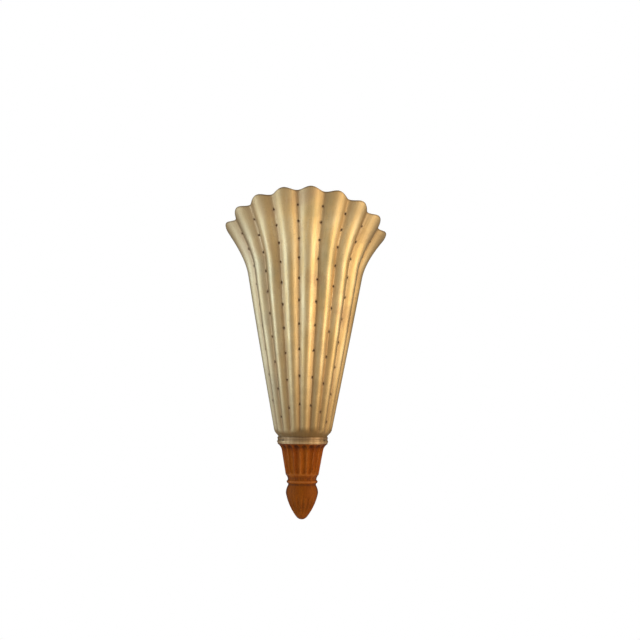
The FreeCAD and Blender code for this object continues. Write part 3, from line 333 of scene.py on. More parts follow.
# %% Draw in the valleys
ALMOST = 0.999  # the shoulder's own row already counts in full
valley_rows = {row: 1.0 for row, level in enumerate(levels) if level >= SHOULDER - 1e-6}
for row, level in enumerate(levels):
    grown = (level - NECK) / (SHOULDER - NECK)
    if 0 < grown < ALMOST:
        valley_rows[row] = grown**2 * (3 - 2 * grown)

for step in range(1, RIB_STEPS // 2 + 1):
    depth = RIB_DEPTH * rib_wave(math.pi * step / RIB_STEPS)
    columns = alike(step, RIB_STEPS, COLUMNS)
    for strength in sorted(set(valley_rows.values())):
        rows = [row for row in valley_rows if valley_rows[row] == strength]
        chosen = [grid[row, column] for row in rows for column in columns]
        draw_in(mesh, chosen, 1 - depth * strength)
print("rows with ribs", len(valley_rows))

# %% Scallop the rim and let it lean
LEAST_RISE = 0.02 * MM
for step in range(RIB_STEPS // 2 + 1):
    wave = math.cos(math.pi * step / RIB_STEPS) ** 2 - 0.5
    for row, level in enumerate(levels):
        rise = SCALLOP * wave * share(level) ** 8
        if abs(rise) > LEAST_RISE:
            pick(mesh, [grid[row, column] for column in alike(step, RIB_STEPS, COLUMNS)])
            raise_by(rise)

for (row, column), vertex in grid.items():
    vertex.co.z -= RIM_LEAN * vertex.co.x * share(levels[row]) ** 4
rim = [grid[len(levels) - 1, column].co.copy() for column in range(COLUMNS + 1)]
rim_angles = [math.atan2(point.x, -(point.y + WALL_GAP)) for point in rim]
rim_levels = [point.z for point in rim]
bpy.ops.object.mode_set(mode="OBJECT")

# %% [markdown]
# ## The shell: holes and thickness
# A row of holes is pierced down every valley, with gaps that grow from the rim to the neck. Each
# hole's place is found by a ray from the axis, which meets the plain sheet at the hole's angle and
# level. Two more rays meet the flanks of the valley, and the punch comes from between them.
# Solidify then gives the sheet its thickness, a small bevel rounds the rim, and one subdivision
# smooths the ribs. The punch is modelled once, with a flare that leaves each hole slightly
# dished, and is copied to all the places. One boolean takes them all out.

# %% Find the holes
HOLE_RADIUS = 1.2 * MM
FIRST_GAP, GAP_GROWTH = 20 * MM, 2.4 * MM
FLANK = 0.01  # radians from the valley to a flank


def outward_at(angle):
    return Vector((math.sin(angle), -math.cos(angle), 0))


holes = []
for valley in range(1, RIBS):
    angle = math.pi * (valley / RIBS - 0.5)
    out = outward_at(angle)
    gap = FIRST_GAP
    level = rim_levels[RIB_STEPS * valley] - gap
    while level > SHOULDER:
        start = (0, -WALL_GAP, level)
        place = shell.ray_cast(start, out)[1]
        left, right = [shell.ray_cast(start, outward_at(angle + a))[2] for a in (-FLANK, FLANK)]
        normal = (left + right).normalized()
        holes.append((place, normal if normal.dot(out) > 0 else -normal))
        gap += GAP_GROWTH
        level -= gap
print("holes", len(holes))

# %% Thickness, rim and holes
RIM_ROUNDING = 0.4 * MM
PUNCH_LENGTH, PUNCH_FLARE = 4 * MM, 1.6
apply_modifier(shell, "SOLIDIFY", thickness=SHEET, offset=-1, use_even_offset=True)
rounding = {"limit_method": "ANGLE", "angle_limit": math.radians(50)}
apply_modifier(shell, "BEVEL", width=RIM_ROUNDING, segments=2, **rounding)
apply_modifier(shell, "SUBSURF", levels=1, render_levels=1)

deselect()
bpy.ops.mesh.primitive_cylinder_add(vertices=20, radius=HOLE_RADIUS, depth=PUNCH_LENGTH)
punch = bpy.context.object
mesh = edit(punch)
pick(mesh, [v for v in mesh.verts if v.co.z > 0])
raise_by(-2.3 * MM)
bpy.ops.mesh.extrude_region_move(TRANSFORM_OT_translate={"value": (0, 0, 1 * MM)})
stretch((PUNCH_FLARE, PUNCH_FLARE, 1))
bpy.ops.object.mode_set(mode="OBJECT")


def seat(place, normal):
    """The matrix that stands a piece on a place with its Z along a normal."""
    return Matrix.Translation(place) @ normal.to_track_quat("Z", "Y").to_matrix().to_4x4()


cut_away(shell, join_copies(punch, [seat(place, normal) for place, normal in holes]))
smooth(shell, 40)
print("shell in mm:", extent(shell), "faces", len(shell.data.polygons))

# %% [markdown]
# ## The shell: what the finish has to know
# Tarnish gathers round the holes, the shell is darker inside, and painted shade lies under the rim.
# A material can't find a hole by itself, so each vertex keeps its distance to the nearest hole and
# to the rim, and whether it is on the inner face.

# %% Mark the holes, the rim and the inner face
points = np.array([v.co for v in shell.data.vertices])
normals = np.array([v.normal for v in shell.data.vertices])
centres = np.array([place for place, normal in holes])
nearest = np.min([np.linalg.norm(points - centre, axis=1) for centre in centres], axis=0)
outward = normals[:, 0] * points[:, 0] + normals[:, 1] * (points[:, 1] + WALL_GAP)
angles = np.arctan2(points[:, 0], -(points[:, 1] + WALL_GAP))
below_rim = np.interp(angles, rim_angles, rim_levels) - points[:, 2]


def mark(piece, name, values):
    attribute = piece.data.attributes.new(name, "FLOAT", "POINT")
    attribute.data.foreach_set("value", np.asarray(values, np.float32))


mark(shell, "hole_distance", nearest)
mark(shell, "rim_distance", below_rim)
mark(shell, "inner_face", (outward < 0).astype(float))
print("vertices on the inner face", int((outward < 0).sum()), "of", len(points))
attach(shell, "light")
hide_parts("shade")

# %% [markdown]
# ## Painted shade in the holes
# The holes look dark like the shaded space behind them, so each is closed by a brown pad that
# stands for that shade, and no light comes through. It is a thin pad in the middle of the sheet: a
# short cylinder, a hair wider than the hole, whose faces are inset and pushed in, so that it is
# hollow. It is modelled once, copied to every hole and joined.

# %% Painted shade pads in the holes
PAD_RADIUS, PAD_THICKNESS, PAD_HOLLOW = 1.25 * MM, 0.3 * MM, 0.3
deselect()
bpy.ops.mesh.primitive_cylinder_add(vertices=12, radius=PAD_RADIUS, depth=PAD_THICKNESS)
pad = bpy.context.object
mesh = edit(pad)
pick_faces(mesh, lambda z: abs(z) > 0.5)
bpy.ops.mesh.inset(thickness=0.5 * MM)
stretch((1, 1, PAD_HOLLOW))
bpy.ops.object.mode_set(mode="OBJECT")
# Each pad's brown is a painted shade that stands for the dark space behind its hole.
hole_shade = join_copies(pad, [seat(place - normal * 0.6 * SHEET, normal) for place, normal in holes])
place_in_mesh(hole_shade, "painted_hole_shade")
smooth(hole_shade, 40)
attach(hole_shade, "light")
print("pads of painted hole shade", len(holes), extent(hole_shade))

# %% [markdown]
# ## The wooden drop
# Under the collar hangs a turned and carved half of mahogany: a flared lip, nine flutes, a plain
# ring, a cove, a bead, a groove and a bud with gouges. It is turned like the shell, from an
# outline with the lip and the ring slightly rounded, as hands wear them.

# %% Outline of the drop
LIP = -170.25  # the level of the lip's upper face, in mm like the rest of this outline


def arc(start, end, bulge, count):
    """Points from start to end, the start left out, on a curve that stands off the chord."""
    (r0, z0), (r1, z1) = start, end
    length = math.hypot(r1 - r0, z1 - z0)
    out_r, out_z = (z0 - z1) / length, (r1 - r0) / length
    points = []
    for t in [i / count for i in range(1, count + 1)]:
        off = 4 * bulge * t * (1 - t)
        points.append((r0 + (r1 - r0) * t + out_r * off, z0 + (z1 - z0) * t + out_z * off))
    return points


profile = [(0.0, LIP + 20), (34.4, LIP + 20), (34.7, LIP + 19.6), (34.7, LIP)]  # the tenon
tenon_points = len(profile) - 1
profile += [(36.9, LIP), (37.2, LIP - 0.25), (37.2, LIP - 0.5), (36.8, LIP - 0.85)]
STRETCHES = [  # radius and depth under the lip at the end, bulge, steps
    (30.8, 11.2, -1.3, 12),  # hollow under the lip
    (24.85, 45.2, 0, 20),  # fluted part
    (24.75, 45.5, 0, 1),
    (24.4, 46.5, 0, 1),
    (24.0, 46.9, 0, 1),  # plain ring
    (21.3, 53.8, -0.6, 5),  # cove
    (21.3, 59.4, 1.9, 8),  # bead
    (20.8, 61.6, -0.3, 3),  # groove
    (24.1, 73.4, 0.8, 7),  # upper side of the bud
    (7.7, 109.4, 2.4, 14),  # its lower side
    (0.0, 113.0, 0.9, 5),  # tip
]
for radius, depth, bulge, count in STRETCHES:
    profile += arc(profile[-1], (radius, LIP - depth), bulge, count)
drop_outline = [(radius * MM, level * MM) for radius, level in profile]
FLUTES, FLUTE_STEPS = 9, 16
DROP_COLUMNS = FLUTE_STEPS * FLUTES
drop = lathe("carved_drop", drop_outline, DROP_COLUMNS)
print("rows", len(drop_outline), "vertices", len(drop.data.vertices))

# %% [markdown]
# ## The drop: flutes and gouges
# A flute is where a round cutter ran down the wood, with its axis a little aslant. The radius that
# it leaves at each level follows from the cutter's size and place, so each column between two
# ridges is drawn in with resize until it lies on the cutter's surface. The bud has nine gouges
# that are made in the same way with a cutter that gets narrower.

# %% The cutters of the flutes and the gouges
FLUTE_TOP, FLUTE_LENGTH = LIP - 7.8, 33.5
FLUTE_AXIS, FLUTE_SINK, FLUTE_CUTTER, FLUTE_TAPER = 35.3, 7.3, 6.2, 1.2
GOUGE_TOP, GOUGE_LENGTH = LIP - 75.7, 34.7
GOUGE_AXIS, GOUGE_SINK, GOUGE_CUTTER, GOUGE_TAPER = 29.2, 19.25, 4.6, 3.13


def flute_cutter(level):
    """Distance of the cutter from the axis, its radius and its slant, in mm, at a level."""
    foot = FLUTE_TOP - FLUTE_LENGTH
    run = min(1.0, max(0.0, (FLUTE_TOP - level) / FLUTE_LENGTH))
    cutter = FLUTE_CUTTER - FLUTE_TAPER * run
    beyond = max(level - FLUTE_TOP, foot - level, 0.0)
    rounded = math.sqrt(max(0.0, cutter**2 - beyond**2))
    return FLUTE_AXIS - FLUTE_SINK * run, rounded, math.atan(FLUTE_SINK / FLUTE_LENGTH)


def gouge_cutter(level):
    run = (GOUGE_TOP - level) / GOUGE_LENGTH
    cutter, slant = GOUGE_CUTTER - GOUGE_TAPER * run, math.atan(GOUGE_SINK / GOUGE_LENGTH)
    return GOUGE_AXIS - GOUGE_SINK * run, cutter, slant


def carved_radius(radius, offset, axis, cutter, slant):
    """Where a slanted round cutter leaves the wood, at an angle from the middle of its cut."""
    if cutter <= 0:
        return radius
    across = math.cos(offset) / (cutter / math.cos(slant))
    along = math.sin(offset) / cutter
    square = across**2 + along**2
    half = axis * across * math.cos(slant) / cutter
    inside = half**2 - square * ((axis * math.cos(slant) / cutter) ** 2 - 1)
    return min(radius, (half - math.sqrt(inside)) / square) if inside > 0 else radius


middle_of_flute = carved_radius(28, 0, *flute_cutter(LIP - 25))
print("a flute leaves, of 28 mm:", round(middle_of_flute, 2))

# %% Carve the flutes and the gouges
FLUTED, GOUGED = (LIP - 45.3, LIP - 1), (LIP - 109.5, LIP - 73.5)
LEAST_CUT = 0.01
cuts = []
mesh = edit(drop)
drop_grid = sort_vertices(mesh, drop_outline, DROP_COLUMNS)
for row, (radius, level) in enumerate(profile):
    if FLUTED[0] < level < FLUTED[1]:
        cut = flute_cutter(level)
    elif GOUGED[0] < level < GOUGED[1]:
        cut = gouge_cutter(level)
    else:
        continue
    for step in range(FLUTE_STEPS // 2):
        left = carved_radius(radius, math.pi * step / DROP_COLUMNS, *cut)
        if left < radius - LEAST_CUT:
            columns = alike(step, FLUTE_STEPS, DROP_COLUMNS)
            draw_in(mesh, [drop_grid[row, column] for column in columns], left / radius)
            cuts.append(radius - left)
print("deepest cut in mm:", round(max(cuts), 2))

# %% [markdown]
# ## The drop: its back
# So far the wood is a bent skin. The loop round its open back is filled with one face, and the
# normals are made to look outward. The steel tongue of the back plate lies in a rebate there, so
# a block of the rebate's size is taken out with a boolean.

# %% Close the back and cut the rebate
REBATE_WIDTH, REBATE_DEPTH = 30.4 * MM, 8.1 * MM
REBATE_TOP = -0.14  # above the tenon, so that the block cuts right through
bpy.ops.mesh.select_all(action="SELECT")
bpy.ops.mesh.region_to_loop()
bpy.ops.mesh.edge_face_add()
bpy.ops.mesh.select_all(action="SELECT")
bpy.ops.mesh.normals_make_consistent(inside=False)

rebate_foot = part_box("back_plate")[0].z - 0.2 * MM
deselect()
middle = (0, -4 * MM, (rebate_foot + REBATE_TOP) / 2)
bpy.ops.mesh.primitive_cube_add(size=1, location=middle)
block = bpy.context.object
bpy.ops.transform.resize(value=(REBATE_WIDTH, REBATE_DEPTH, REBATE_TOP - rebate_foot))
cut_away(drop, block)
smooth(drop, 38)

# %% [markdown]
# ## The drop: what the finish has to know
# The ridges, the ring and the bead are paler, partly worn polish and partly a painted highlight.
# Under the lip, in the cove and in the groove the wood is darker, partly dirt and partly painted
# shade, with the collar's painted shadow under the lip. Three marks say so for every vertex: how
# deep it lies in the carving, how much dirt and painted shade, and how much wear and painted
# highlight its level has.

# %% Mark the wood
FULL_CARVING = 2.3  # mm under the turned surface
points = np.array([v.co for v in drop.data.vertices])
radii = np.hypot(points[:, 0], points[:, 1] + WALL_GAP) / MM
level_mm = points[:, 2] / MM - LIP
turned = profile[tenon_points:]
uncut = np.interp(-level_mm, [LIP - level for _, level in turned], [r for r, _ in turned])
carving = np.clip((uncut - radii) / FULL_CARVING, 0, 1)


def near(level, width):
    return np.exp(-(((level_mm - level) / width) ** 2))


# Dirt and painted shade: the collar's painted shadow under the lip, painted shade in the cove and
# groove.
dirt_and_shade = np.maximum(near(-2, 6) * (0.4 + 0.6 * carving), 0.5 * near(-51, 3.2))
dirt_and_shade = np.maximum(dirt_and_shade, 0.8 * near(-60.6, 1.4))
# Wear and painted highlight on the ridges, the ring and the bead.
ridges = (1 - carving) ** 4 * ((level_mm < -12) & (level_mm > -45))
wear_and_highlight = np.maximum(ridges * 0.7, np.maximum(near(-46, 0.8), near(-56.6, 1.4)))
mark(drop, "carving", carving)
mark(drop, "dirt_and_shade", dirt_and_shade)
mark(drop, "wear_and_highlight", wear_and_highlight)
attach(drop, "light")
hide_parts("wooden_drop")
print("faces of the drop", len(drop.data.polygons))

# %% [markdown]
# ## Screws
# The screws that show from behind and inside have slotted heads. One screw is modelled for each
# size: a cylinder whose top is inset and raised to a low dome, whose underside is inset to the
# shank and drawn out turn by turn into a thread, and whose slot is cut with a boolean. Copies go
# where the frame has its plain screws, whose places are read from the vertices of their tips.

# %% Where the screws sit


def screw_seats(node, side):
    """The middle of every screw of a node in X and Z, from the vertices of its tip."""
    low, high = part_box(node)
    tip = low.y if side > 0 else high.y
    groups = []
    for vertex in nodes[node].data.vertices:
        x, y, z = vertex.co
        if abs(y - tip) > 0.1 * MM:
            continue
        near_by = [g for g in groups if math.hypot(g[0][0] - x, g[0][1] - z) < 5 * MM]
        if near_by:
            near_by[0].append((x, z))
        else:
            groups.append([(x, z)])
    return [((np.min(g, axis=0) + np.max(g, axis=0)) / 2).tolist() for g in groups]


print("plate screws at, in mm:", in_mm(screw_seats("plate_screws", 1)))

# %% Model one screw
HEAD = 2 * MM  # height of every head
EDGE_DROP = 0.7 * MM  # from the middle of the dome to the head's edge
DOME = ((0.22, 0.45), (0.25, 0.2), (0.25, 0.05))  # insets as a share of the radius, rises in mm
THREAD_PITCH = 0.8 * MM
THREAD_ROOT = 0.8  # radius between two turns, as a share of the shank's


def model_screw(head, shank, long):
    """One screw along Z, its head's underside at Z = 0."""
    deselect()
    size = {"radius": head, "depth": HEAD, "location": (0, 0, HEAD / 2)}
    bpy.ops.mesh.primitive_cylinder_add(vertices=32, **size)
    bolt = bpy.context.object
    bpy.ops.object.transform_apply(location=True)
    mesh = edit(bolt)
    pick_faces(mesh, lambda z: z > 0.5)
    raise_by(-EDGE_DROP)
    for inset, rise in DOME:
        bpy.ops.mesh.inset(thickness=inset * head)
        raise_by(rise * MM)
    pick_faces(mesh, lambda z: z < -0.5)
    bpy.ops.mesh.inset(thickness=head - shank)
    turns = int(long / THREAD_PITCH)
    for half in range(2 * turns):
        move = {"value": (0, 0, -long / turns / 2)}
        bpy.ops.mesh.extrude_region_move(TRANSFORM_OT_translate=move)
        change = THREAD_ROOT if half % 2 == 0 else 1 / THREAD_ROOT
        stretch((change, change, 1))
    bpy.ops.object.mode_set(mode="OBJECT")
    deselect()
    bpy.ops.mesh.primitive_cube_add(size=1, location=(0, 0, HEAD))
    slot = bpy.context.object
    slot.scale = (3 * head, 0.3 * head, 1.8 * MM)
    cut_away(bolt, slot)
    return bolt


# %% Put screws in all their places


def add_screws(node, shank, side):
    """Slotted screws for a node; side is +1 where the heads look to the wall, -1 to the room."""
    seats = screw_seats(node, side)
    (_, back, bottom), (_, front, _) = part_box(node)
    head = min(z for x, z in seats) - bottom
    bolt = model_screw(head, shank, abs(front - back) - HEAD)
    under = front - HEAD if side > 0 else back + HEAD
    aim = Matrix.Rotation(-side * math.pi / 2, 4, "X")
    places = []
    for number, (x, z) in enumerate(seats):
        turned = Matrix.Rotation(math.radians(25 + 67 * number), 4, "Z")
        places.append(Matrix.Translation((x, under, z)) @ aim @ turned)
    piece = join_copies(bolt, places)
    place_in_mesh(piece, "slotted_" + node)
    smooth(piece, 35)
    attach(piece, "light")
    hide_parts(node)
    print(piece.name, len(seats), "head", round(head / MM, 2), extent(piece))
    return piece


screws = [
    add_screws("plate_screws", 1.5 * MM, 1),
    add_screws("drop_screws", 1.75 * MM, 1),
    add_screws("arm_screws", 2 * MM, 1),
    add_screws("block_screws", 1.5 * MM, -1),
    add_screws("earth_screw", 2 * MM, -1),
]

# %% [markdown]
# ## Helpers for finishes
# A finish is a net of nodes that ends in the Principled shader. The helper makes a material and
# adds nodes to it, and a value or another node can be given for each input. A coat lays a tone
# over the colour so far. All patterns read Object coordinates or a mark that a piece carries, so
# they stay on the piece from every side.

# %% Helpers for finishes


class Net:
    """A net of shader nodes that grows node by node."""

    def __init__(self, tree):
        self.tree = tree

    def put(self, kind, inputs=None, **settings):
        node = self.tree.nodes.new("ShaderNode" + kind)
        for name, value in settings.items():
            setattr(node, name, value)
        for key, value in (inputs or {}).items():
            self.feed(node.inputs[key], value)
        return node

    def feed(self, socket, value):
        if isinstance(value, bpy.types.Node):
            value = value.outputs[0]
        if isinstance(value, bpy.types.NodeSocket):
            self.tree.links.new(value, socket)
        else:
            socket.default_value = value

    def calc(self, operation, *values):
        return self.put("Math", dict(enumerate(values)), operation=operation)

    def between(self, value, low, high, start=0.0, end=1.0):
        """Goes softly from start to end as the value goes from low to high."""
        inputs = {0: value, 1: low, 2: high, 3: start, 4: end}
        return self.put("MapRange", inputs, interpolation_type="SMOOTHSTEP")


class Finish(Net):
    """The net of a material."""

    def __init__(self, name):
        self.material = bpy.data.materials.new(name)
        self.material.use_nodes = True
        super().__init__(self.material.node_tree)
        self.shader = self.tree.nodes["Principled BSDF"]
        self.place = self.put("TexCoord").outputs["Object"]
        self.colour = None

    def shade(self, **values):
        for name, value in values.items():
            self.feed(self.shader.inputs[name.replace("_", " ")], value)

    def mark(self, name):
        return self.put("Attribute", attribute_name=name).outputs["Fac"]

    def stretched(self, x, y, z, place=None):
        return self.put("Mapping", {"Vector": place or self.place, "Scale": (x, y, z)})

    def noise(self, scale, detail=4.0, place=None, rough=0.6):
        inputs = {"Scale": scale, "Detail": detail, "Roughness": rough}
        return self.put("TexNoise", {"Vector": place or self.place, **inputs})

    def uneven(self, value, noise, width):
        """A value that noise moves up and down by a width, for ragged edges."""
        return self.calc("ADD", value, self.between(noise, 0.3, 0.7, -width, width))

    def mix(self, share, first, second):
        """Goes from the first colour to the second as the share goes from 0 to 1."""
        node = self.put("Mix", {0: share}, data_type="RGBA")
        for socket, colour in ((6, first), (7, second)):
            given = isinstance(colour, tuple)
            self.feed(node.inputs[socket], (*colour, 1) if given else colour)
        return node.outputs[2]

    def coat(self, share, tone):
        self.colour = self.mix(share, self.colour, tone)

    def bump(self, height, strength, distance, before=None):
        inputs = {"Height": height, "Strength": strength, "Distance": distance}
        if before:
            inputs["Normal"] = before
        return self.put("Bump", inputs)


# %% [markdown]
# ## Aged brass
# The shell's brass was polished, lacquered and left for decades. It has fine upright streaks that
# follow the ribs, and rose-brown and olive clouds. The angle round the axis and the level make a
# pair of coordinates that run along the ribs, so noise drawn out along them gives streaks that
# fan out like them. The collar is of the same metal, so both start from one function.

# %% Streaked brass


def streaked_brass(name, pale, warm, streak=1.0):
    """Satin brass with streaks along the axis; also returns what more coats need."""
    brass = Finish(name)
    centred = brass.put("VectorMath", {0: brass.place, 1: (0, WALL_GAP, 0)}, operation="ADD")
    x, y, level = brass.put("SeparateXYZ", {0: centred}).outputs
    angle = brass.calc("ARCTAN2", x, brass.calc("MULTIPLY", y, -1.0))
    along = brass.put("CombineXYZ", {"X": angle, "Y": 0.0, "Z": level})
    broad = brass.noise(1.0, 3.0, brass.stretched(9, 1, 14, along))
    fine = brass.noise(1.0, 3.0, brass.stretched(110, 1, 34, along), 0.7)
    clouds = brass.noise(22.0, 5.0)
    brass.colour = brass.mix(brass.between(broad, 0.35, 0.65), pale, warm)
    rose = brass.calc("MULTIPLY", brass.between(clouds, 0.52, 0.7), 0.4 * streak)
    brass.coat(rose, (0.47, 0.25, 0.13))
    greens = brass.noise(15.0, 4.0, brass.stretched(1, 1, 0.6))
    olive = brass.calc("MULTIPLY", brass.between(greens, 0.54, 0.72), 0.4 * streak)
    brass.coat(olive, (0.33, 0.29, 0.13))
    brass.coat(brass.between(fine, 0.45, 0.75, 0.0, 0.25 * streak), (0.38, 0.24, 0.10))
    return brass, angle, level, fine, clouds


# %% [markdown]
# ## The shell's patina and painted shade
# The shell is browner toward the neck, partly tarnish and partly a painted shade of the light that
# fades downward. Its left side is painted greyer, as under cool light, and its right side darker,
# as painted shade. It has tiny pits, and dirt lies in its valleys, round its holes and at the
# shoulder, and it is darker on its inner face. Below the rim it is browner, a painted shade of the
# flare that turns down, and its edge has a painted dark line of shade. Each of these is one coat,
# whose share comes from the level, the angle, a mark or noise. The last coat is a painted shade
# that darkens what turns away from the eye.

# %% Patina and painted shade of the shell
CLEAR, DEEP = 0.0, 0.6
VALLEY_SHARPNESS = 9.0
brass, angle, level, fine, clouds = streaked_brass(
    "aged_brass", pale=(0.79, 0.575, 0.28), warm=(0.73, 0.47, 0.18)
)
uneven_level = brass.uneven(level, clouds, 40 * MM)
# Browner toward the neck: partly tarnish, partly a painted shade of light that fades downward.
brass.coat(brass.between(uneven_level, -0.175, 0.03, 0.8, CLEAR), (0.36, 0.22, 0.083))
# A painted tone of cool light on the left side, and a painted shade on the right side.
uneven_angle = brass.uneven(angle, clouds, 0.25)
brass.coat(brass.between(uneven_angle, -1.5, 0.1, DEEP, CLEAR), (0.46, 0.37, 0.22))
brass.coat(brass.between(uneven_angle, 0.7, 1.5, CLEAR, DEEP), (0.36, 0.225, 0.09))
pits = brass.noise(420.0, 3.0)
brass.coat(brass.between(pits, 0.56, 0.7, CLEAR, 0.3), (0.32, 0.20, 0.09))
wave = brass.calc("SINE", brass.calc("MULTIPLY", angle, float(RIBS)))
valley = brass.calc("POWER", brass.calc("ABSOLUTE", wave), VALLEY_SHARPNESS)
in_valley = brass.calc("MULTIPLY", valley, brass.between(fine, 0.25, 0.7, 0.15, DEEP))
brass.coat(in_valley, (0.42, 0.225, 0.10))
print("nodes of the patina so far", len(brass.tree.nodes))

# %% Dirt, painted shade, edges and relief of the shell
spots = brass.noise(330.0, 2.0)
hole = brass.mark("hole_distance")
around_hole = brass.uneven(hole, spots, 1.2 * MM)
smudge = brass.between(around_hole, 1.0 * MM, 3.6 * MM, 0.7, CLEAR)
brass.coat(smudge, (0.17, 0.095, 0.04))
tarnish = brass.between(brass.uneven(level, clouds, 6 * MM), -0.156, -0.144, 0.85, CLEAR)
tarnish = brass.calc("MULTIPLY", tarnish, brass.between(fine, 0.35, 0.65, 1.0, 0.65))
brass.coat(tarnish, (0.22, 0.115, 0.035))
below = brass.mark("rim_distance")
# A painted shade below the rim, where the flare turns down toward the floor.
rim_shade = brass.uneven(below, clouds, 8 * MM)
brass.coat(brass.between(rim_shade, 0.0, 48 * MM, DEEP, CLEAR), (0.42, 0.27, 0.12))
# A painted dark line of shade along the rim's edge.
brass.coat(brass.between(below, 0.5 * MM, 2.4 * MM, 0.8, CLEAR), (0.20, 0.12, 0.055))
brass.coat(brass.calc("MULTIPLY", brass.mark("inner_face"), 0.55), (0.30, 0.19, 0.09))
# A painted shade on what turns away from the eye.
facing_shade = brass.put("LayerWeight", {"Blend": 0.5}).outputs["Facing"]
brass.coat(brass.between(facing_shade, 0.5, 0.95, CLEAR, 0.65), (0.26, 0.17, 0.08))

marked = brass.calc("MAXIMUM", in_valley, brass.calc("MAXIMUM", smudge, tarnish))
satin = brass.between(fine, 0.3, 0.7, 0.46, 0.54)
rough = brass.calc("ADD", satin, brass.calc("MULTIPLY", marked, 0.2))
beaten = brass.bump(brass.noise(26.0, 2.0), 0.25, 1.5 * MM)
brass.shade(
    Base_Color=brass.colour,
    Roughness=brass.calc("ADD", rough, brass.between(level, -0.16, 0.0, 0.14, 0.0)),
    Metallic=brass.calc("SUBTRACT", 1.0, brass.calc("MULTIPLY", smudge, 0.7)),
    Normal=brass.bump(fine, 0.12, 0.3 * MM, beaten),
)
print("nodes of the shell's brass", len(brass.tree.nodes))

# %% [markdown]
# ## The collar's patina
# The collar is a turned ring of two beads. It is darker than the shell, most of all on its upper
# bead and in the groove between the beads.

# %% Patina of the collar
GROOVE = 163.9 * MM  # under the origin
collar, _, level, _, clouds = streaked_brass(
    "collar_brass", pale=(0.50, 0.31, 0.14), warm=(0.36, 0.205, 0.088), streak=0.8
)
from_groove = collar.calc("ABSOLUTE", collar.calc("ADD", level, GROOVE))
collar.coat(collar.between(from_groove, 0.2 * MM, 1.0 * MM, 0.8, CLEAR), (0.16, 0.09, 0.04))
collar.coat(collar.between(level, -165 * MM, -162 * MM, CLEAR, 0.45), (0.21, 0.11, 0.05))
collar.shade(
    Base_Color=collar.colour,
    Roughness=collar.between(clouds, 0.3, 0.7, 0.5, 0.65),
    Metallic=1.0,
    Normal=collar.bump(clouds, 0.2, 0.4 * MM),
)
print("nodes of the collar's brass", len(collar.tree.nodes))

# %% [markdown]
# ## Mahogany
# Mahogany is red-brown with straight fibres and short dark pores that run along the piece. The
# fibres are noise that is drawn out along Z. The wood is darker in the hollows and under the lip,
# partly old polish and partly painted shade, the collar's painted shadow under the lip, and it
# is paler on the ridges, partly wear and partly a painted highlight. The edges that turn away from
# the eye get a painted shade. The flat back was never polished, so the marks are kept off it.

# %% Mahogany
BUD_TOP, BUD_EDGE = LIP * MM - 0.062, LIP * MM - 0.058
wood = Finish("mahogany")
fibres = wood.noise(1.0, 6.0, wood.stretched(260, 260, 16), 0.65)
bands = wood.noise(1.0, 3.0, wood.stretched(55, 55, 6), 0.5)
pores = wood.noise(1.0, 1.0, wood.stretched(1500, 1500, 110), 0.5)
dark_red, warm_red = (0.26, 0.050, 0.0015), (0.345, 0.084, 0.003)
wood.colour = wood.mix(wood.between(bands, 0.3, 0.7), dark_red, warm_red)
wood.coat(wood.between(fibres, 0.35, 0.7, 0.0, 0.5), (0.15, 0.026, 0.002))
_, y, z = wood.put("SeparateXYZ", {0: wood.place}).outputs
turned_side = wood.between(y, -1.3 * MM, -0.9 * MM, 1.0, 0.0)


def on_turned_side(share):
    """Keeps a share of the wood off its flat back."""
    return wood.calc("MULTIPLY", share, turned_side)


# Paler ridges, ring and bead: partly wear, partly a painted highlight.
marked = on_turned_side(wood.mark("wear_and_highlight"))
wood.coat(wood.calc("MULTIPLY", marked, 0.3), (0.46, 0.17, 0.045))
wood.coat(wood.between(pores, 0.62, 0.7, 0.0, 0.7), (0.035, 0.01, 0.004))
carving_shade, kept_dirt_and_shade = on_turned_side(wood.mark("carving")), on_turned_side(wood.mark("dirt_and_shade"))
# A painted shade in the flutes and gouges.
wood.coat(wood.calc("MULTIPLY", carving_shade, 0.14), (0.10, 0.018, 0.002))
darker_bud = wood.between(z, BUD_TOP, BUD_EDGE, 0.45, 0.0)
wood.coat(on_turned_side(darker_bud), (0.13, 0.034, 0.003))
# Patchy dirt and painted shade under the lip, in the cove and in the groove.
patchy_dirt_and_shade = wood.calc("MULTIPLY", kept_dirt_and_shade, wood.between(fibres, 0.25, 0.7, 0.55, 0.95))
wood.coat(patchy_dirt_and_shade, (0.035, 0.012, 0.006))
# A painted shade on the edges of the wood that turn away from the eye.
facing_shade = wood.put("LayerWeight", {"Blend": 0.5}).outputs["Facing"]
wood.coat(wood.between(facing_shade, 0.4, 0.9, 0.0, 0.8), (0.06, 0.016, 0.004))
wood.shade(
    Base_Color=wood.colour,
    Roughness=wood.between(fibres, 0.3, 0.7, 0.45, 0.6),
    Specular_IOR_Level=0.04,
    Normal=wood.bump(pores, 0.25, 0.1 * MM, wood.bump(fibres, 0.2, 0.25 * MM)),
)
print("nodes of the mahogany", len(wood.tree.nodes))

# %% [markdown]
# ## The small finishes
# The pins, the screws, the lampholder, the wiring and the bulb each have a plain finish. One
# function makes them all: two colours that noise mixes, a range of roughness and a bump.

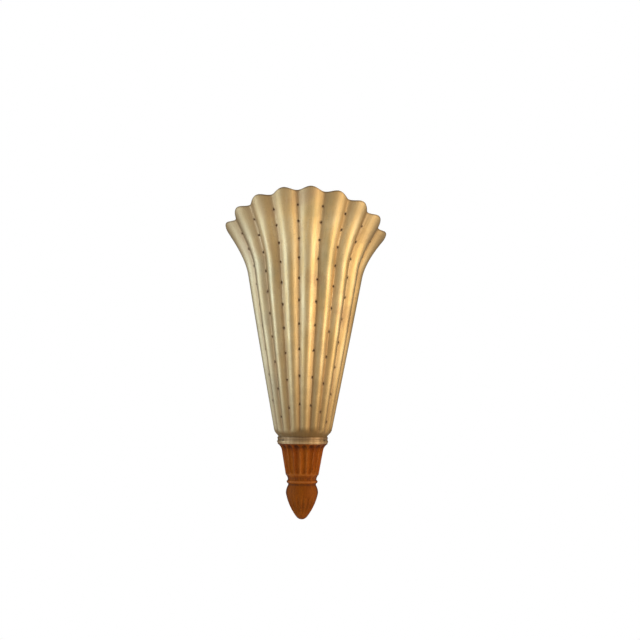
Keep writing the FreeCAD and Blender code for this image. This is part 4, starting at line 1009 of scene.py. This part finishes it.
# %% The small finishes
PLAIN = {  # two colours, range of roughness, metal, scale of the grain, relief in mm unless 0.1
    "screw_steel": ((0.44, 0.43, 0.40), (0.60, 0.59, 0.56), (0.3, 0.45), 1.0, 700),
    "dark_brass": ((0.10, 0.06, 0.03), (0.22, 0.14, 0.07), (0.45, 0.6), 0.8, 500),
    # the pads in the holes: a painted shade of the dark space behind them
    "painted_hole_shade": ((0.12, 0.06, 0.022), (0.20, 0.105, 0.045), (0.7, 0.85), 0.0, 900),
    "phenolic": ((0.018, 0.014, 0.012), (0.035, 0.026, 0.02), (0.28, 0.42), 0.0, 700),
    "ceramic": ((0.72, 0.69, 0.62), (0.82, 0.80, 0.74), (0.5, 0.65), 0.0, 350),
    "contact_brass": ((0.62, 0.46, 0.20), (0.72, 0.56, 0.28), (0.25, 0.4), 1.0, 300),
    "solder": ((0.42, 0.42, 0.43), (0.60, 0.60, 0.60), (0.35, 0.55), 1.0, 900, 0.3),
    "black_glass": ((0.012, 0.012, 0.018), (0.02, 0.02, 0.028), (0.08, 0.16), 0.0, 300),
    "nickel": ((0.62, 0.60, 0.56), (0.70, 0.68, 0.64), (0.18, 0.3), 1.0, 400),
    "tungsten": ((0.20, 0.20, 0.21), (0.30, 0.30, 0.31), (0.35, 0.5), 1.0, 2000),
    "nylon": ((0.74, 0.72, 0.66), (0.82, 0.80, 0.75), (0.4, 0.52), 0.0, 500),
    "tinned_copper": ((0.58, 0.57, 0.55), (0.68, 0.66, 0.62), (0.3, 0.45), 1.0, 500),
    "lead_brown": ((0.13, 0.05, 0.022), (0.17, 0.07, 0.03), (0.35, 0.5), 0.0, 900),
    "lead_blue": ((0.03, 0.10, 0.33), (0.05, 0.14, 0.40), (0.35, 0.5), 0.0, 900),
    "rubber_black": ((0.02, 0.02, 0.02), (0.04, 0.038, 0.036), (0.6, 0.8), 0.0, 800),
    "bulb_glass": ((0.90, 0.88, 0.83), (0.95, 0.94, 0.90), (0.42, 0.5), 0.0, 300),
    "clear_glass": ((0.95, 0.97, 0.97), (1.0, 1.0, 1.0), (0.03, 0.06), 0.0, 300),
}


def plain(name, first, second, rough, metal, grain, relief=0.1):
    finish = Finish(name)
    mottle = finish.noise(grain, 5.0)
    cloud = finish.noise(grain / 8, 2.0)
    weighted = [finish.calc("MULTIPLY", part, w) for part, w in ((mottle, 0.6), (cloud, 0.4))]
    both = finish.calc("ADD", *weighted)
    finish.shade(
        Base_Color=finish.mix(finish.between(both, 0.35, 0.65), first, second),
        Roughness=finish.between(mottle, 0.3, 0.7, *rough),
        Metallic=metal,
        Normal=finish.bump(mottle, 0.25, relief * MM),
    )
    return finish


finishes = {name: plain(name, *row) for name, row in PLAIN.items()}
# The pads of painted shade in the holes get little sheen.
finishes["painted_hole_shade"].shade(Specular_IOR_Level=0.1)
finishes["bulb_glass"].shade(Transmission_Weight=0.7)
finishes["clear_glass"].shade(Transmission_Weight=1.0)
finishes.update(aged_brass=brass, collar_brass=collar, mahogany=wood)
print("finishes", len(finishes))

# %% [markdown]
# ## Zinc and the striped lead
# Hot-dipped zinc freezes in flat crystals, each of one grey, which is what a Voronoi texture
# draws. Scratches and brown stains lie over it. The earth lead is green with a yellow stripe on
# its front and back, which follows from how far a point lies from the middle in X.

# %% Zinc and the striped lead
zinc = Finish("zinc_steel")
cells = {"Vector": zinc.stretched(1, 0.2, 1), "Scale": 190.0, "Randomness": 1.0}
crystals = zinc.put("TexVoronoi", cells).outputs["Color"]
flower = zinc.put("SeparateColor", {0: crystals}).outputs[0]
scratches = zinc.noise(1.0, 3.0, zinc.stretched(30, 400, 900), 0.7)
stains = zinc.noise(18.0, 5.0)
zinc.colour = zinc.mix(flower, (0.40, 0.42, 0.43), (0.56, 0.57, 0.57))
zinc.coat(zinc.between(scratches, 0.55, 0.75, 0.0, 0.5), (0.70, 0.70, 0.68))
zinc.coat(zinc.between(stains, 0.55, 0.75, 0.0, 0.6), (0.24, 0.20, 0.15))
duller = zinc.calc("MULTIPLY", flower, 0.14)
zinc.shade(
    Base_Color=zinc.colour,
    Roughness=zinc.calc("ADD", duller, zinc.between(stains, 0.4, 0.7, 0.34, 0.5)),
    Metallic=1.0,
    Normal=zinc.bump(scratches, 0.15, 0.1 * MM),
)
finishes["zinc_steel"] = zinc

striped = Finish("lead_green")
aside = striped.calc("ABSOLUTE", striped.put("SeparateXYZ", {0: striped.place}).outputs["X"])
stripe = striped.between(aside, 0.3 * MM, 0.45 * MM)
sheath = striped.noise(900.0)
striped.shade(
    Base_Color=striped.mix(stripe, (0.62, 0.55, 0.03), (0.05, 0.26, 0.04)),
    Roughness=striped.between(sheath, 0.3, 0.7, 0.35, 0.5),
    Normal=striped.bump(sheath, 0.2, 0.1 * MM),
)
finishes["lead_green"] = striped
print("finishes", len(finishes))

# %% [markdown]
# ## Every piece gets its finish
# The record names a material for each node of the frame, so those follow from a loop. The frame's
# own plain colours are cleared first. The new pieces are given theirs by name.

# %% Give every piece its finish
wanted = [(nodes[row["node"]], row["material_slot"]) for row in frame["record"]["subparts"]]
wanted += [(shell, "aged_brass"), (drop, "mahogany"), (hole_shade, "painted_hole_shade")]
wanted += [(piece, "screw_steel") for piece in screws]
for piece, name in wanted:
    piece.data.materials.clear()
    piece.data.materials.append(finishes[name].material)
print("pieces with a finish", len(wanted))

# %% [markdown]
# ## Camera
# The photograph was taken from about 2.5 m away, a little to the left of the axis and at the
# height of the shell's lower half. The camera is aimed rather than shifted, so that the other
# views stay centred.

# %% Camera
CAMERA_PLACE = (-0.170, -2.494, -0.100)
FOCAL_LENGTH, FOCAL_PIXELS = 93.75, 1666.7
TO_AXIS, ROLL = math.radians(-3.9), math.radians(-0.7)
ASIDE, ABOVE = 15.9, 76.7  # pixels from the aim to the middle of the picture
data = bpy.data.cameras.new("camera")
data.lens = FOCAL_LENGTH
camera = bpy.data.objects.new("camera", data)
bpy.context.scene.collection.objects.link(camera)
camera.location = CAMERA_PLACE
pan = TO_AXIS - math.atan(ASIDE / FOCAL_PIXELS)
pitch = math.atan(ABOVE / FOCAL_PIXELS)
ahead = (-math.sin(pan) * math.cos(pitch), math.cos(pan) * math.cos(pitch), math.sin(pitch))
forward = Vector(ahead)
level_view = forward.to_track_quat("-Z", "Y").to_matrix()
camera.rotation_euler = (Matrix.Rotation(ROLL, 3, forward) @ level_view).to_euler()
bpy.context.scene.camera = camera
bpy.context.scene.view_settings.view_transform = "Standard"
print("camera at", CAMERA_PLACE)

# %% [markdown]
# ## Lamps
# Two tall soft lamps stand at the sides, a cool one on the left and a warm one on the right. Their
# height draws the long soft highlights on the ribs, and they are turned down until no pale
# surface clips.

# %% Lamps


def lamp(name, place, size, power, colour):
    data = bpy.data.lights.new(name, "AREA")
    data.shape = "RECTANGLE"
    data.size, data.size_y = size
    data.energy = power
    data.color = colour
    made = bpy.data.objects.new(name, data)
    bpy.context.scene.collection.objects.link(made)
    made.location = place
    made.rotation_euler = (-Vector(place)).to_track_quat("-Z", "Y").to_euler()


lamp("cool_lamp", (-1.75, -0.30, 0.0), (1.2, 2.2), 27, (0.46, 0.67, 1.0))
lamp("warm_lamp", (1.5, -0.85, 0.0), (1.3, 2.2), 23, (1.0, 0.93, 0.81))
print("lamps", len(bpy.data.lights))

# %% [markdown]
# ## The room
# The world is white for the camera and through glass, so the background is white. The metal
# reflects a plain grey room, a little brighter at its sides and dimmer towards the wall, and
# everything else is lit by an even grey. A white room would wash out the brass.

# %% The room
DIFFUSE_ROOM, SIDE_ROOM, BACK_ROOM = 0.6, (0.41, 0.46), (1.0, 0.25)
world = bpy.data.worlds.new("studio")
world.use_nodes = True
bpy.context.scene.world = world
room = Net(world.node_tree)
path = room.put("LightPath").outputs
toward = room.put("TexCoord").outputs["Generated"]
x, y, _ = room.put("SeparateXYZ", {0: toward}).outputs
sides = room.between(room.calc("ABSOLUTE", x), 0.3, 0.95, *SIDE_ROOM)
behind = room.put("MapRange", {0: y, 1: 0.0, 2: 0.9, 3: BACK_ROOM[0], 4: BACK_ROOM[1]})
mirrored = room.calc("MULTIPLY", sides, behind)
kinds = {0: path["Is Glossy Ray"], 2: DIFFUSE_ROOM, 3: mirrored}
soft = room.put("Mix", kinds, data_type="FLOAT")
clear = room.calc("MAXIMUM", path["Is Camera Ray"], path["Is Transmission Ray"])
background = world.node_tree.nodes["Background"].inputs
room.feed(background["Strength"], room.calc("MAXIMUM", soft, clear))
background["Color"].default_value = (1, 1, 1, 1)
print("nodes of the world", len(world.node_tree.nodes))

# %% [markdown]
# ## The floor
# The light hangs on a wall, so the floor lies well below it, where it only sends some light back
# up. It is pale, and for the camera it mostly glows white like the world behind it, with a small
# part left that takes a shadow.

# %% The floor
FLOOR_LEVEL, FLOOR_GLOW = -1.3, 0.95
deselect()
bpy.ops.mesh.primitive_plane_add(size=8, location=(0, 0, FLOOR_LEVEL))
floor = bpy.context.object
floor.name = "floor"
pale = Finish("pale_floor")
shown = pale.put("LightPath").outputs["Is Camera Ray"]
glow = pale.put("Emission", {"Color": (1, 1, 1, 1), "Strength": 1.0})
glowing = pale.calc("MULTIPLY", shown, FLOOR_GLOW)
blend = pale.put("MixShader", {0: glowing, 1: pale.shader, 2: glow})
pale.shade(Base_Color=(0.9, 0.9, 0.9, 1), Roughness=0.8)
pale.feed(pale.tree.nodes["Material Output"].inputs["Surface"], blend)
floor.data.materials.append(pale.material)
print("floor at", FLOOR_LEVEL)
